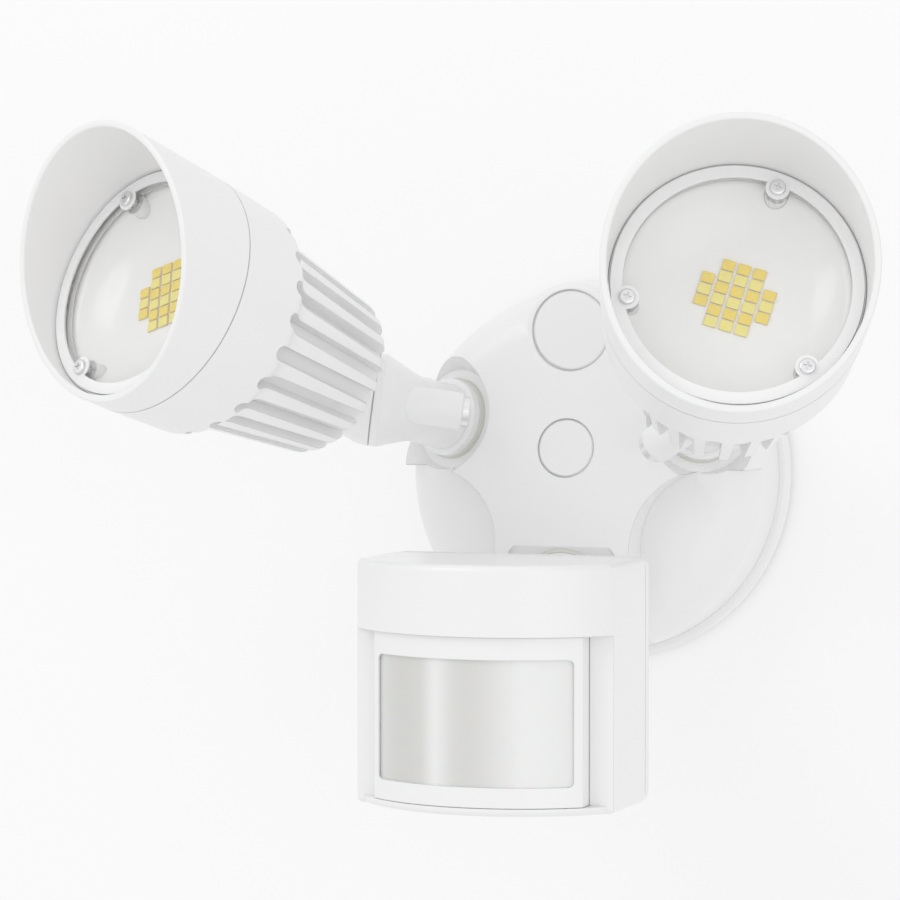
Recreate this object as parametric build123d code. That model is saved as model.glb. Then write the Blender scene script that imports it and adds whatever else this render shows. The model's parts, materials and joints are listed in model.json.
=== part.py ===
from build123d import *
from math import acos, cos, hypot, radians, sin, sqrt, tan
import os

# Twin-head motion sensor security light, in millimetres.
# +Z is up, +Y points into the wall, and the origin is the middle of the canopy on the wall plane.
# "Depth" is the distance in front of the wall, towards -Y.

# Wall bracket: a flat bar with two slots for the screws of a junction box
SLOT_SPACING = 88.9
SLOT_LENGTH = 8.0
SLOT_WIDTH = 4.4
BRACKET_END = 2.55
BRACKET_LENGTH = SLOT_SPACING + SLOT_LENGTH + 2 * BRACKET_END
BRACKET_WIDTH = 17.0
BRACKET_THICK = 1.6
BRACKET_CORNER = 4.0
BRACKET_CLEAR = 1.5
ANCHOR_HEIGHT = 8.9

# Canopy: a round drum with a foot flange and a raised T-shaped hub, just large enough for the bracket
GASKET_THICK = 1.5
GASKET_WIDTH = 5.0
GASKET_INSET = 0.6
BRACKET_REACH = BRACKET_CORNER + hypot(BRACKET_LENGTH / 2 - BRACKET_CORNER,
                                       ANCHOR_HEIGHT + BRACKET_WIDTH / 2 - BRACKET_CORNER)
FLANGE_RADIUS = BRACKET_REACH + BRACKET_CLEAR + GASKET_WIDTH + GASKET_INSET
FLANGE_THICK = 4.5
FLANGE_EDGE = 1.4
FLANGE_STEP = 2.7
BODY_RADIUS = FLANGE_RADIUS - FLANGE_STEP
BODY_WALL = 2.6
DRUM_DEPTH = 38.0
SHOULDER_RADIUS = 14.0
HUB_DEPTH = 47.0
HUB_SLOPE = 7.9
HUB_LEG_HALF = 21.9
HUB_BAR_LOW = 2.5
HUB_CORNER = 24.0

# Top port: a round boss closed by a threaded plug
PORT_HEIGHT = 45.3
PORT_RADIUS = 15.0
PORT_DEPTH = 41.0
PORT_BACK = 22.0
PORT_EDGE = 2.0
PORT_BORE = 10.6
PLUG_HEAD_RADIUS = 12.3
PLUG_HEAD_THICK = 2.4
PLUG_STEM = 7.0
PLUG_WALL = 2.2
PLUG_GROOVE = 0.4
PLUG_EDGE = 0.5

# Canopy fixing: one long screw under a snap cap, down to the wall bracket
CAP_RADIUS = 8.8
CAP_THICK = 1.6
CAP_EDGE = 0.4
CAP_STEM_RADIUS = 6.2
CAP_STEM = 3.0
CAP_WALL = 1.2
CAP_GROOVE = 0.4
SEAT_DROP = 9.0
SCREW_TUBE_WALL = 2.4
SCREW_TUBE_END = 6.0
SCREW_RADIUS = 2.4
SCREW_HEAD_RADIUS = 4.2
SCREW_HEAD_THICK = 3.0
SCREW_CROSS = 5.0
SCREW_CROSS_WIDTH = 1.0
SCREW_CROSS_DEPTH = 1.4
SCREW_PLAY = 0.3
THREAD_PLAY = 0.05

# Driver module on two posts inside the drum
DRIVER_WIDTH = 56.0
DRIVER_HEIGHT = 26.0
DRIVER_THICK = 17.0
DRIVER_BACK = 5.0
DRIVER_CENTRE = -30.0
DRIVER_EDGE = 2.0
POST_RADIUS = 3.0
POST_SPACING = 44.0

# Head sockets in the shoulders of the canopy
SOCKET_YAW = 25.0
SOCKET_PITCH = 11.0
SOCKET_INSET = 16.875
SOCKET_SIDE = BODY_RADIUS - SOCKET_INSET
SOCKET_DEPTH = 34.9
SOCKET_HEIGHT = 17.1
SOCKET_FLOOR = 2.6
DISH_FLOOR_RADIUS = 15.8
DISH_FLARE = 28.0
DISH_REACH = 40.0
SOCKET_BORE = 6.55
NIPPLE_RADIUS = 6.5
NIPPLE_LENGTH = 12.0
NIPPLE_HOLE = 4.0
SEAL_THICK = 1.5
SEAL_RADIUS = 12.8
NUT_FLATS = 16.5
NUT_THICK = 3.6

# Arms: collar, barrel and a seam disc cut at the mitre angle
COLLAR_RADIUS = 12.2
COLLAR_THICK = 3.2
COLLAR_EDGE = 0.8
BARREL_RADIUS = 10.3
BARREL_LENGTH = 20.0
ARM_LENGTH = 36.0
MITRE = 45.0
SEAM_RADIUS = 14.5
SEAM_RIM = 2.2
SEAM_GAP = 0.3
BOSS_RADIUS = 5.8
BOSS_REACH = 27.6
BOSS_EDGE = 1.2
BOLT_RADIUS = 3.0
BOLT_PLAY = 0.06
BOLT_HEAD_RADIUS = 4.6
BOLT_HEAD_THICK = 2.0
BOLT_KEY = 4.0
BOLT_KEY_DEPTH = 1.4
BOLT_GRIP = 8.0
LOCK_PLACE = 15.0
LOCK_RADIUS = 1.6
LOCK_LENGTH = 5.0
LOCK_KEY = 1.9
LOCK_KEY_DEPTH = 1.6
HOLE_SPARE = 0.5

# Head aim at rest
LEFT_HEAD_YAW = -26.0
LEFT_HEAD_PITCH = 21.3
RIGHT_HEAD_YAW = 20.0
RIGHT_HEAD_PITCH = 21.0

# Head, measured forward from the middle of the seam along its own axis
ELBOW_RADIUS = 14.3
ELBOW_SPIGOT_RADIUS = 9.0
ELBOW_SPIGOT = 10.0
SINK_REAR = 19.2
SINK_REAR_RADIUS = 17.5
SINK_TAIL_RADIUS = 25.2
SINK_TAIL_STEP = 0.6
SINK_TAIL_ROUND = 6.0
SINK_NECK_RADIUS = 31.6
SINK_NECK = 64.0
BARREL_REAR = 69.0
BARREL_REAR_RADIUS = 36.4
BARREL_FRONT = 92.0
BARREL_FRONT_RADIUS = 37.8
SINK_COVE = 9.0
SINK_BULL = 4.0
FIN_COUNT = 22
FIN_SLOT_WIDTH = 4.4
FIN_SLOT_DEPTH = 4.6
FIN_SLOT_FRONT = 72.5
FIN_SLOT_OVERRUN = 12.0
PEDESTAL_RADIUS = 17.5
CAVITY_FLOOR = 76.5
CAVITY_RADIUS = 33.6
SPIGOT_RADIUS = 35.4
SPIGOT_LENGTH = 4.5
SPIGOT_PLAY = 0.05
HOOD_GAP = 0.3
HOOD_WALL = 1.9
HOOD_TOP = 130.5
HOOD_BOTTOM = 101.6
HOOD_SPARE = 12.0
HOOD_FRONT_RADIUS = 39.2
HOOD_LIP = 0.6
LENS_FACE = 101.0
LENS_RADIUS = 35.2
LENS_STEP_RADIUS = 31.8
LENS_THICK = 2.2
LENS_RIM_THICK = 3.2
LENS_FACE_DROP = 0.6
LENS_PLAY = 0.5
GASKET_SECTION = 1.2
GASKET_SETBACK = 0.3
TAB_COUNT = 3
TAB_CIRCLE = 30.8
TAB_RADIUS = 3.4
TAB_PLAY = 0.4
LENS_SCREW_RADIUS = 1.4
LENS_SCREW_LENGTH = 9.0
LENS_SCREW_HEAD = 2.7
LENS_SCREW_HEAD_THICK = 1.4
LEFT_TAB_ANGLE = 2.0
RIGHT_TAB_ANGLE = 67.5
LED_FACE = 89.0
LED_BOARD_RADIUS = 16.0
LED_BOARD_THICK = 1.6
CHIP_WIDTH = 3.8
CHIP_HEIGHT = 3.1
CHIP_THICK = 0.8
CHIP_COLUMN_PITCH = 4.5
CHIP_ROW_PITCH = 3.5
CHIP_COLUMNS = (3, 6, 6, 6, 3)
CHIP_TILT = 18.0
BOWL_FLOOR_RADIUS = 14.8
BOWL_RADIUS = 31.4
BOWL_SAG = 3.2
BOWL_WALL = 1.2
BOWL_FLANGE = 34.6
BOWL_GAP = 0.3

# Sensor arm, from a slanted pocket in the foot of the hub
SENSOR_SOCKET_DEPTH = 42.0
SENSOR_SOCKET_HEIGHT = -31.0
SENSOR_SOCKET_PITCH = -40.0
POCKET_HALF = 18.5
POCKET_TOP = 12.6
POCKET_FOOT = 44.0
POCKET_CORNER = 5.0
SENSOR_REACH = 17.0
EAR_RADIUS = 8.0
EAR_THICK = 4.6
EAR_GAP = 0.3
TONGUE_HALF = 5.0
PIN_RADIUS = 2.5
PIN_HEAD_RADIUS = 4.2
PIN_HEAD_THICK = 1.6
SENSOR_COLLAR_RADIUS = 11.2
SENSOR_SEAL_RADIUS = 11.6

# Sensor, facing straight ahead
SENSOR_TOP = -21.3
SENSOR_BOTTOM = -94.3
SENSOR_HALF = 40.0
SENSOR_BACK = 89.5
SENSOR_CHORD = 119.5
SENSOR_NOSE = 139.0
SENSOR_WALL = 2.2
SENSOR_EDGE = 2.0
SENSOR_CORNER = 3.0
SENSOR_CAP_HEIGHT = 20.8
BASE_THICK = 2.4
FLOOR_THICK = 3.4
BASE_EDGE = 1.8
LENS_SETBACK = 1.6
STRIP_SETBACK = 6.4
FRAME_HALF = 32.5
FRAME_GAP = 0.15
WINDOW_HALF = 30.3
WINDOW_TOP = 27.5
WINDOW_HEIGHT = 37.0
WINDOW_CORNER = 1.5
WINDOW_SEAT = 2.0
FRESNEL_THICK = 1.2
FRESNEL_SETBACK = 0.9
FRESNEL_FACETS = 5
FRESNEL_RIB = 0.6
FRESNEL_RIB_WIDTH = 0.9
FRESNEL_LAP = 1.2
FRESNEL_PLAY = 0.2
REAR_WIDTH = 50.0
REAR_HEIGHT = 46.0
REAR_BULGE = 14.0
REAR_EDGE = 4.0
REAR_WALL = 2.4
REAR_DROP = 8.0
REAR_INSET = 2.0
REAR_PLATE = 3.0
NECK_RADIUS = 9.0
NECK_CLEAR = 2.0
BOARD_WIDTH = 56.0
BOARD_HEIGHT = 52.0
BOARD_THICK = 1.6
BOARD_CORNER = 2.0
BOARD_DEPTH = 100.9
PYRO_RADIUS = 4.6
PYRO_BRIM = 0.5
PYRO_BRIM_THICK = 0.6
PYRO_LENGTH = 4.2
PYRO_HEIGHT = -67.0
PYRO_WINDOW_WIDTH = 4.0
PYRO_WINDOW_HEIGHT = 3.0
PYRO_WINDOW_DEPTH = 0.3
POT_SIZE = 9.0
POT_HEIGHT = 6.0
POT_GAP = 4.0
POT_ROOF = 1.0
DIAL_RADIUS = 5.0
DIAL_SIDES = 12
DIAL_THICK = 3.4
DIAL_SPACING = 26.0
DIAL_DEPTH = BOARD_DEPTH + BOARD_THICK + POT_SIZE / 2
DIAL_SHAFT = 1.5
DIAL_PLAY = 0.3
DIAL_SLOT = 1.0
DIAL_SLOT_DEPTH = 1.2
DIAL_SETBACK = 0.2
SENSOR_SCREW_RADIUS = 1.5
SENSOR_SCREW_LENGTH = 13.0
SENSOR_SCREW_HEAD = 2.9
SENSOR_SCREW_HEAD_THICK = 2.0
SENSOR_POST_RADIUS = 3.6
SENSOR_POST_INSET = 5.0
SENSOR_POST_SINK = 0.8
SENSOR_POST_END = 3.0
SENSOR_SCREW_SEAT = 0.2

WALL = Plane.XZ
FAR = 200.0


def direction(yaw, pitch):
    """A unit vector: yaw turns from straight ahead towards +X, pitch lifts it."""
    level = cos(radians(pitch))
    return Vector(sin(radians(yaw)) * level, -cos(radians(yaw)) * level, sin(radians(pitch)))


def aimed_plane(origin, aim):
    """A plane that looks along aim, with its local y as near to straight up as it can be."""
    return Plane(origin=origin, x_dir=Vector(0, 0, 1).cross(aim).normalized(), z_dir=aim)


def wall_disc(radius, back, front, across=0.0, height=0.0):
    """A cylinder square to the wall, between two depths."""
    return extrude(WALL.offset(back) * Pos(across, height) * Circle(radius), front - back)


def rod(plane, radius, start, end):
    """A cylinder along a plane's normal, between two places on it."""
    return extrude(plane.offset(start) * Circle(radius), end - start)


def tube(plane, radius, hole, start, end):
    return rod(plane, radius, start, end) - rod(plane, hole, start, end)


def hub_face(inset):
    """The slanted front plane of the hub, moved inwards by a wall."""
    tilt = radians(HUB_SLOPE)
    face = Plane(origin=(0, -HUB_DEPTH, 0), x_dir=(1, 0, 0), z_dir=(0, -cos(tilt), sin(tilt)))
    return face.offset(-inset)


def hub_depth_at(height):
    return HUB_DEPTH - height * tan(radians(HUB_SLOPE))


def canopy_form(inset, back):
    """The drum with its T-shaped hub, as one solid, with every face moved inwards by inset."""
    radius = BODY_RADIUS - inset
    rounding = SHOULDER_RADIUS - inset
    drum = wall_disc(radius, back, DRUM_DEPTH - inset)
    drum = fillet(drum.edges().filter_by(GeomType.CIRCLE).sort_by(Axis.Y)[0], rounding)
    hub = wall_disc(radius, back, FAR)
    hub = split(hub, bisect_by=hub_face(inset), keep=Keep.BOTTOM)
    hub = fillet(hub.edges().filter_by(GeomType.ELLIPSE), rounding)
    leg_half = HUB_LEG_HALF - inset
    bar_low = HUB_BAR_LOW + inset
    leg = Rectangle(2 * leg_half, FAR)
    bar = Pos(0, bar_low + FAR / 2) * Rectangle(FAR, FAR)
    outline = bar + leg
    inner = [v for v in outline.vertices() if abs(v.Y - bar_low) < 0.01 and abs(abs(v.X) - leg_half) < 0.01]
    outline = fillet(inner, HUB_CORNER)
    return drum + (hub & extrude(WALL * outline, FAR))


def dish(plane, start, wall):
    """The flared round recess in front of a head socket, grown by a wall."""
    floor_radius = DISH_FLOOR_RADIUS + wall
    rim_radius = floor_radius + (DISH_REACH - start) * tan(radians(DISH_FLARE))
    return loft([plane.offset(start) * Circle(floor_radius), plane.offset(DISH_REACH) * Circle(rim_radius)])


def pocket(plane, start, wall):
    """The slanted pocket that the sensor's arm comes out of, open at its foot."""
    height = POCKET_TOP + POCKET_FOOT + wall
    centre = POCKET_TOP + wall - height / 2
    outline = Pos(0, centre) * RectangleRounded(2 * (POCKET_HALF + wall), height, POCKET_CORNER)
    return extrude(plane.offset(start) * outline, FAR)


def canopy_cavity(sockets, sensor_socket):
    """The hollow behind the drum, less the walls, posts and tubes that stand in it."""
    cavity = canopy_form(BODY_WALL, 0)
    for plane in sockets:
        cavity -= dish(plane, -SOCKET_FLOOR, BODY_WALL)
    cavity -= pocket(sensor_socket, -SOCKET_FLOOR, BODY_WALL)
    cavity -= wall_disc(CAP_STEM_RADIUS + SCREW_TUBE_WALL, SCREW_TUBE_END, FAR, 0, ANCHOR_HEIGHT)
    cavity -= wall_disc(PORT_RADIUS, PORT_BACK, FAR, 0, PORT_HEIGHT)
    for side in (-1, 1):
        cavity -= wall_disc(POST_RADIUS, DRIVER_BACK + DRIVER_THICK, FAR, side * POST_SPACING / 2, DRIVER_CENTRE)
    return cavity


def canopy_housing(sockets, sensor_socket):
    flange = wall_disc(FLANGE_RADIUS, GASKET_THICK, GASKET_THICK + FLANGE_THICK)
    flange = fillet(flange.edges().filter_by(GeomType.CIRCLE).sort_by(Axis.Y)[0], FLANGE_EDGE)
    port = wall_disc(PORT_RADIUS, PORT_BACK, PORT_DEPTH, 0, PORT_HEIGHT)
    port = fillet(port.edges().filter_by(GeomType.CIRCLE).sort_by(Axis.Y)[0], PORT_EDGE)
    seat = hub_depth_at(ANCHOR_HEIGHT) - SEAT_DROP
    body = canopy_form(0, GASKET_THICK) + flange + port - canopy_cavity(sockets, sensor_socket)
    for plane in sockets:
        body -= dish(plane, 0, 0)
        body -= rod(plane, SOCKET_BORE, -NIPPLE_LENGTH, 1)
    body -= pocket(sensor_socket, 0, 0)
    body -= rod(sensor_socket, SOCKET_BORE, -NIPPLE_LENGTH, 1)
    body -= wall_disc(PORT_BORE, 0, PORT_DEPTH, 0, PORT_HEIGHT)
    body -= wall_disc(PLUG_HEAD_RADIUS + PLUG_GROOVE, PORT_DEPTH - PLUG_HEAD_THICK, FAR, 0, PORT_HEIGHT)
    cap_face = cap_plane()
    body -= rod(cap_face, CAP_RADIUS + CAP_GROOVE, -CAP_THICK, FAR)
    body -= wall_disc(CAP_STEM_RADIUS, seat, FAR, 0, ANCHOR_HEIGHT)
    body -= wall_disc(SCREW_RADIUS + SCREW_PLAY, 0, FAR, 0, ANCHOR_HEIGHT)
    return body


def cap_plane():
    """The hub's slanted face, centred over the fixing screw."""
    face = hub_face(0)
    return Plane(origin=(0, -hub_depth_at(ANCHOR_HEIGHT), ANCHOR_HEIGHT), x_dir=face.x_dir, z_dir=face.z_dir)


def screw_cap():
    """The round snap cap over the fixing screw, with a split skirt below its disc."""
    face = cap_plane()
    disc = rod(face, CAP_RADIUS, -CAP_THICK, 0)
    disc = chamfer(disc.edges().filter_by(GeomType.CIRCLE).sort_by(Axis.Y)[0], CAP_EDGE)
    front = hub_depth_at(ANCHOR_HEIGHT) - CAP_THICK
    skirt_back = front - CAP_STEM
    radius = CAP_STEM_RADIUS - THREAD_PLAY
    skirt = wall_disc(radius, skirt_back, front + CAP_WALL, 0, ANCHOR_HEIGHT)
    skirt -= wall_disc(radius - CAP_WALL, skirt_back, front - CAP_WALL, 0, ANCHOR_HEIGHT)
    skirt = split(skirt, bisect_by=face.offset(-CAP_THICK), keep=Keep.BOTTOM)
    return disc + skirt


def canopy_screw():
    """The long fixing screw, with a cross recess in its pan head."""
    seat = hub_depth_at(ANCHOR_HEIGHT) - SEAT_DROP
    head = wall_disc(SCREW_HEAD_RADIUS, seat, seat + SCREW_HEAD_THICK, 0, ANCHOR_HEIGHT)
    cross = Rectangle(SCREW_CROSS, SCREW_CROSS_WIDTH) + Rectangle(SCREW_CROSS_WIDTH, SCREW_CROSS)
    floor = seat + SCREW_HEAD_THICK - SCREW_CROSS_DEPTH
    head -= extrude(WALL.offset(floor) * Pos(0, ANCHOR_HEIGHT) * cross, SCREW_HEAD_THICK)
    return head + wall_disc(SCREW_RADIUS, 0, seat, 0, ANCHOR_HEIGHT)


def top_plug():
    """The threaded port plug: a flush head and a hollow stem."""
    back = PORT_DEPTH - PLUG_HEAD_THICK
    head = wall_disc(PLUG_HEAD_RADIUS, back, PORT_DEPTH, 0, PORT_HEIGHT)
    head = chamfer(head.edges().filter_by(GeomType.CIRCLE).sort_by(Axis.Y)[0], PLUG_EDGE)
    radius = PORT_BORE - THREAD_PLAY
    stem = wall_disc(radius, back - PLUG_STEM, back, 0, PORT_HEIGHT)
    stem -= wall_disc(radius - PLUG_WALL, back - PLUG_STEM, back, 0, PORT_HEIGHT)
    return head + stem


def wall_gasket():
    outer = FLANGE_RADIUS - GASKET_INSET
    return wall_disc(outer, 0, GASKET_THICK) - wall_disc(outer - GASKET_WIDTH, 0, GASKET_THICK)


def mounting_bracket():
    """The flat bar behind the canopy, with a slot at each end and a threaded middle hole."""
    bar = RectangleRounded(BRACKET_LENGTH, BRACKET_WIDTH, BRACKET_CORNER)
    for side in (-1, 1):
        bar -= Pos(side * SLOT_SPACING / 2, 0) * SlotOverall(SLOT_LENGTH, SLOT_WIDTH)
    bar -= Circle(SCREW_RADIUS + THREAD_PLAY)
    bar = Pos(0, ANCHOR_HEIGHT) * bar
    return extrude(WALL * bar, BRACKET_THICK)


def driver_module():
    box = Pos(0, -(DRIVER_BACK + DRIVER_THICK / 2), DRIVER_CENTRE) * Box(DRIVER_WIDTH, DRIVER_THICK, DRIVER_HEIGHT)
    return fillet(box.edges().filter_by(Axis.Y), DRIVER_EDGE)


def socket_seal(plane, radius):
    return tube(plane, radius, NIPPLE_RADIUS + THREAD_PLAY, 0, SEAL_THICK)


def locknut(plane):
    """The thin hexagon nut that clamps a nipple inside the canopy."""
    front = -SOCKET_FLOOR
    blank = extrude(plane.offset(front - NUT_THICK) * RegularPolygon(NUT_FLATS / 2, 6, major_radius=False), NUT_THICK)
    return blank - rod(plane, NIPPLE_RADIUS + THREAD_PLAY, front - NUT_THICK, front)


def nipple(plane):
    return tube(plane, NIPPLE_RADIUS, NIPPLE_HOLE, -NIPPLE_LENGTH, SEAL_THICK)


def mitre_axis(arm_aim, head_aim, side):
    """The pivot axis that stands at the mitre angle to both the arm and the head, outboard."""
    middle = (arm_aim + head_aim).normalized()
    across = arm_aim.cross(head_aim).normalized()
    if across.X * side < 0:
        across = across * -1
    lean = acos(cos(radians(MITRE)) / arm_aim.dot(middle))
    return middle * cos(lean) + across * sin(lean)


def flare(start, start_radius, end, end_radius):
    """A straight-sided turn from one disc to another, with both circles started on their shared axis."""
    across = start.z_dir.cross(end.z_dir).normalized()
    rings = []
    for plane, radius in ((start, start_radius), (end, end_radius)):
        rings.append(Plane(origin=plane.origin, x_dir=across, z_dir=plane.z_dir) * Circle(radius))
    return loft(rings, ruled=True)


def mitre_arm(socket, seam):
    """A head's arm: nipple, collar, barrel, seam disc, and the boss of its pivot bolt."""
    barrel_start = SEAL_THICK + COLLAR_THICK
    collar = rod(socket, COLLAR_RADIUS, SEAL_THICK, barrel_start)
    collar = fillet(collar.edges().filter_by(GeomType.CIRCLE).sort_by_distance(socket.origin)[-1], COLLAR_EDGE)
    barrel = rod(socket, BARREL_RADIUS, barrel_start, BARREL_LENGTH)
    rim_back = -SEAM_GAP / 2 - SEAM_RIM
    rim = rod(seam, SEAM_RADIUS, rim_back, -SEAM_GAP / 2)
    knee = flare(socket.offset(BARREL_LENGTH), BARREL_RADIUS, seam.offset(rim_back), SEAM_RADIUS)
    boss = rod(seam, BOSS_RADIUS, -BOSS_REACH, rim_back)
    boss = fillet(boss.edges().filter_by(GeomType.CIRCLE).sort_by_distance(socket.origin)[0], BOSS_EDGE)
    arm = collar + barrel + knee + rim + boss
    arm -= rod(seam, BOLT_RADIUS + BOLT_PLAY, -FAR, FAR)
    arm -= rod(lock_plane(socket), LOCK_RADIUS, BARREL_RADIUS - LOCK_LENGTH, FAR)
    arm += nipple(socket)
    return arm - rod(socket, NIPPLE_HOLE, -NIPPLE_LENGTH, barrel_start)


def lock_plane(socket):
    """Looks out of the top of an arm's barrel, where its locking screw sits."""
    return Plane(origin=socket.origin + socket.z_dir * LOCK_PLACE, x_dir=socket.z_dir, z_dir=socket.y_dir)


def lock_screw(socket):
    plane = lock_plane(socket)
    screw = rod(plane, LOCK_RADIUS - THREAD_PLAY, BARREL_RADIUS - LOCK_LENGTH, BARREL_RADIUS)
    hexagon = RegularPolygon(LOCK_KEY / 2, 6, major_radius=False)
    return screw - extrude(plane.offset(BARREL_RADIUS - LOCK_KEY_DEPTH) * hexagon, LOCK_LENGTH)


def pivot_bolt(seam):
    """The bolt that clamps a head to its arm, with a hexagon socket in its head."""
    end = -BOSS_REACH - BOLT_HEAD_THICK
    head = rod(seam, BOLT_HEAD_RADIUS, end, -BOSS_REACH)
    head -= extrude(seam.offset(end) * RegularPolygon(BOLT_KEY / 2, 6, major_radius=False), BOLT_KEY_DEPTH)
    return head + rod(seam, BOLT_RADIUS, -BOSS_REACH, BOLT_GRIP)


def rear_elbow(head, seam):
    """The casting between a head and its seam: a domed knee, and the spigot that holds the heat sink."""
    knee = Pos(*seam.origin) * Sphere(SEAM_RADIUS) + rod(head, ELBOW_RADIUS, 0, SINK_REAR)
    knee = split(knee, bisect_by=seam.offset(SEAM_GAP / 2), keep=Keep.TOP)
    spigot = rod(head, ELBOW_SPIGOT_RADIUS, SINK_REAR, SINK_REAR + ELBOW_SPIGOT)
    return knee + spigot - rod(seam, BOLT_RADIUS + BOLT_PLAY, 0, BOLT_GRIP + HOLE_SPARE)


def turned(head, outline):
    """A body of revolution about a head's axis, from an outline of (radius, place) on its local plane."""
    profile = Plane(origin=head.origin, x_dir=head.x_dir, z_dir=head.y_dir * -1)
    return revolve(profile * outline, Axis(head.origin, head.z_dir))


def sink_outline():
    """Half section of the heat sink: finned tail, cove, barrel, spigot, and LED pedestal."""
    pedestal = LED_FACE - LED_BOARD_THICK
    spigot_front = BARREL_FRONT + SPIGOT_LENGTH
    points = [
        (0, SINK_REAR),
        (SINK_REAR_RADIUS, SINK_REAR),
        (SINK_TAIL_RADIUS, SINK_REAR + SINK_TAIL_STEP),
        (SINK_NECK_RADIUS, SINK_NECK),
        (BARREL_REAR_RADIUS, BARREL_REAR),
        (BARREL_FRONT_RADIUS, BARREL_FRONT),
        (SPIGOT_RADIUS, BARREL_FRONT),
        (SPIGOT_RADIUS, spigot_front),
        (CAVITY_RADIUS, spigot_front),
        (CAVITY_RADIUS, CAVITY_FLOOR),
        (PEDESTAL_RADIUS, CAVITY_FLOOR),
        (PEDESTAL_RADIUS, pedestal),
        (0, pedestal),
    ]
    outline = make_face(Polyline(*points, close=True))
    rounding = ((2, SINK_TAIL_ROUND), (3, SINK_COVE), (4, SINK_BULL))
    for index, radius in rounding:
        x, y = points[index]
        corner = [v for v in outline.vertices() if abs(v.X - x) < 0.01 and abs(v.Y - y) < 0.01]
        outline = fillet(corner, radius)
    return outline


def fin_slot(head):
    """One slot between two fins: round at its front, and with a floor that follows the taper."""
    run = SINK_NECK - SINK_REAR
    taper = (SINK_NECK_RADIUS - SINK_TAIL_RADIUS) / run
    length = FIN_SLOT_FRONT - SINK_REAR + FIN_SLOT_OVERRUN
    floor = SINK_NECK_RADIUS + taper * (FIN_SLOT_FRONT - SINK_NECK) - FIN_SLOT_DEPTH
    front = head.origin + head.z_dir * FIN_SLOT_FRONT + head.y_dir * floor
    rearward = (head.z_dir * -1 - head.y_dir * taper).normalized()
    outward = head.x_dir.cross(rearward)
    if outward.dot(head.y_dir) < 0:
        outward = outward * -1
    plane = Plane(origin=front, x_dir=rearward, z_dir=outward)
    return extrude(plane * Pos(length / 2, 0) * SlotOverall(length, FIN_SLOT_WIDTH), SINK_TAIL_RADIUS)


def tab_places(tab_angle):
    return PolarLocations(TAB_CIRCLE, TAB_COUNT, tab_angle)


def heat_sink(head, tab_angle):
    """The finned casting with its pedestal for the LED board and posts for the lens screws."""
    sink = turned(head, sink_outline())
    slot = fin_slot(head)
    axis = Axis(head.origin, head.z_dir)
    for index in range(FIN_COUNT):
        sink -= slot.rotate(axis, (index + 0.5) * 360 / FIN_COUNT)
    socket_floor = SINK_REAR + ELBOW_SPIGOT + HOLE_SPARE
    sink -= rod(head, ELBOW_SPIGOT_RADIUS + THREAD_PLAY, 0, socket_floor)
    post_front = LENS_FACE - LENS_RIM_THICK
    for place in tab_places(tab_angle):
        post = extrude(head.offset(CAVITY_FLOOR) * place * Circle(TAB_RADIUS), post_front - CAVITY_FLOOR)
        depth = LENS_SCREW_LENGTH - LENS_RIM_THICK + HOLE_SPARE
        hole = extrude(head.offset(post_front) * place * Circle(LENS_SCREW_RADIUS + THREAD_PLAY), -depth)
        sink = sink + post - hole
    return sink


def visor_hood(head):
    """The hood: a flaring tube cut on the slant, long above and short below."""
    rear = BARREL_FRONT + HOOD_GAP
    bore = SPIGOT_RADIUS + SPIGOT_PLAY
    step = BARREL_FRONT + SPIGOT_LENGTH
    front = HOOD_TOP + HOOD_SPARE
    front_radius = BARREL_FRONT_RADIUS
    front_radius += (HOOD_FRONT_RADIUS - BARREL_FRONT_RADIUS) * (front - rear) / (HOOD_TOP - rear)
    outline = make_face(Polyline(
        (bore, rear), (BARREL_FRONT_RADIUS, rear), (front_radius, front), (front_radius - HOOD_WALL, front),
        (LENS_RADIUS + LENS_PLAY, step), (bore, step), close=True))
    hood = turned(head, outline)
    span = 2 * HOOD_FRONT_RADIUS
    middle = head.origin + head.z_dir * ((HOOD_TOP + HOOD_BOTTOM) / 2)
    lean = (head.z_dir * span - head.y_dir * (HOOD_TOP - HOOD_BOTTOM)).normalized()
    rim = Plane(origin=middle, x_dir=head.x_dir, z_dir=lean)
    hood = split(hood, bisect_by=rim, keep=Keep.BOTTOM)
    return fillet(hood.edges().group_by(Axis(middle, lean))[-1], HOOD_LIP)


def led_board(head):
    back = LED_FACE - LED_BOARD_THICK
    return rod(head, LED_BOARD_RADIUS, back, LED_FACE)


def led_chips(head, tilt):
    """The array of LED packages, in slanted columns that fill a round patch."""
    chips = []
    for column, count in enumerate(CHIP_COLUMNS):
        across = (column - (len(CHIP_COLUMNS) - 1) / 2) * CHIP_COLUMN_PITCH
        for row in range(count):
            along = (row - (count - 1) / 2) * CHIP_ROW_PITCH
            place = Rot(0, 0, -tilt) * Pos(across, along)
            outline = place * Rectangle(CHIP_WIDTH, CHIP_HEIGHT)
            chips.append(extrude(head.offset(LED_FACE) * outline, CHIP_THICK))
    return Compound(children=chips)


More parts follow.
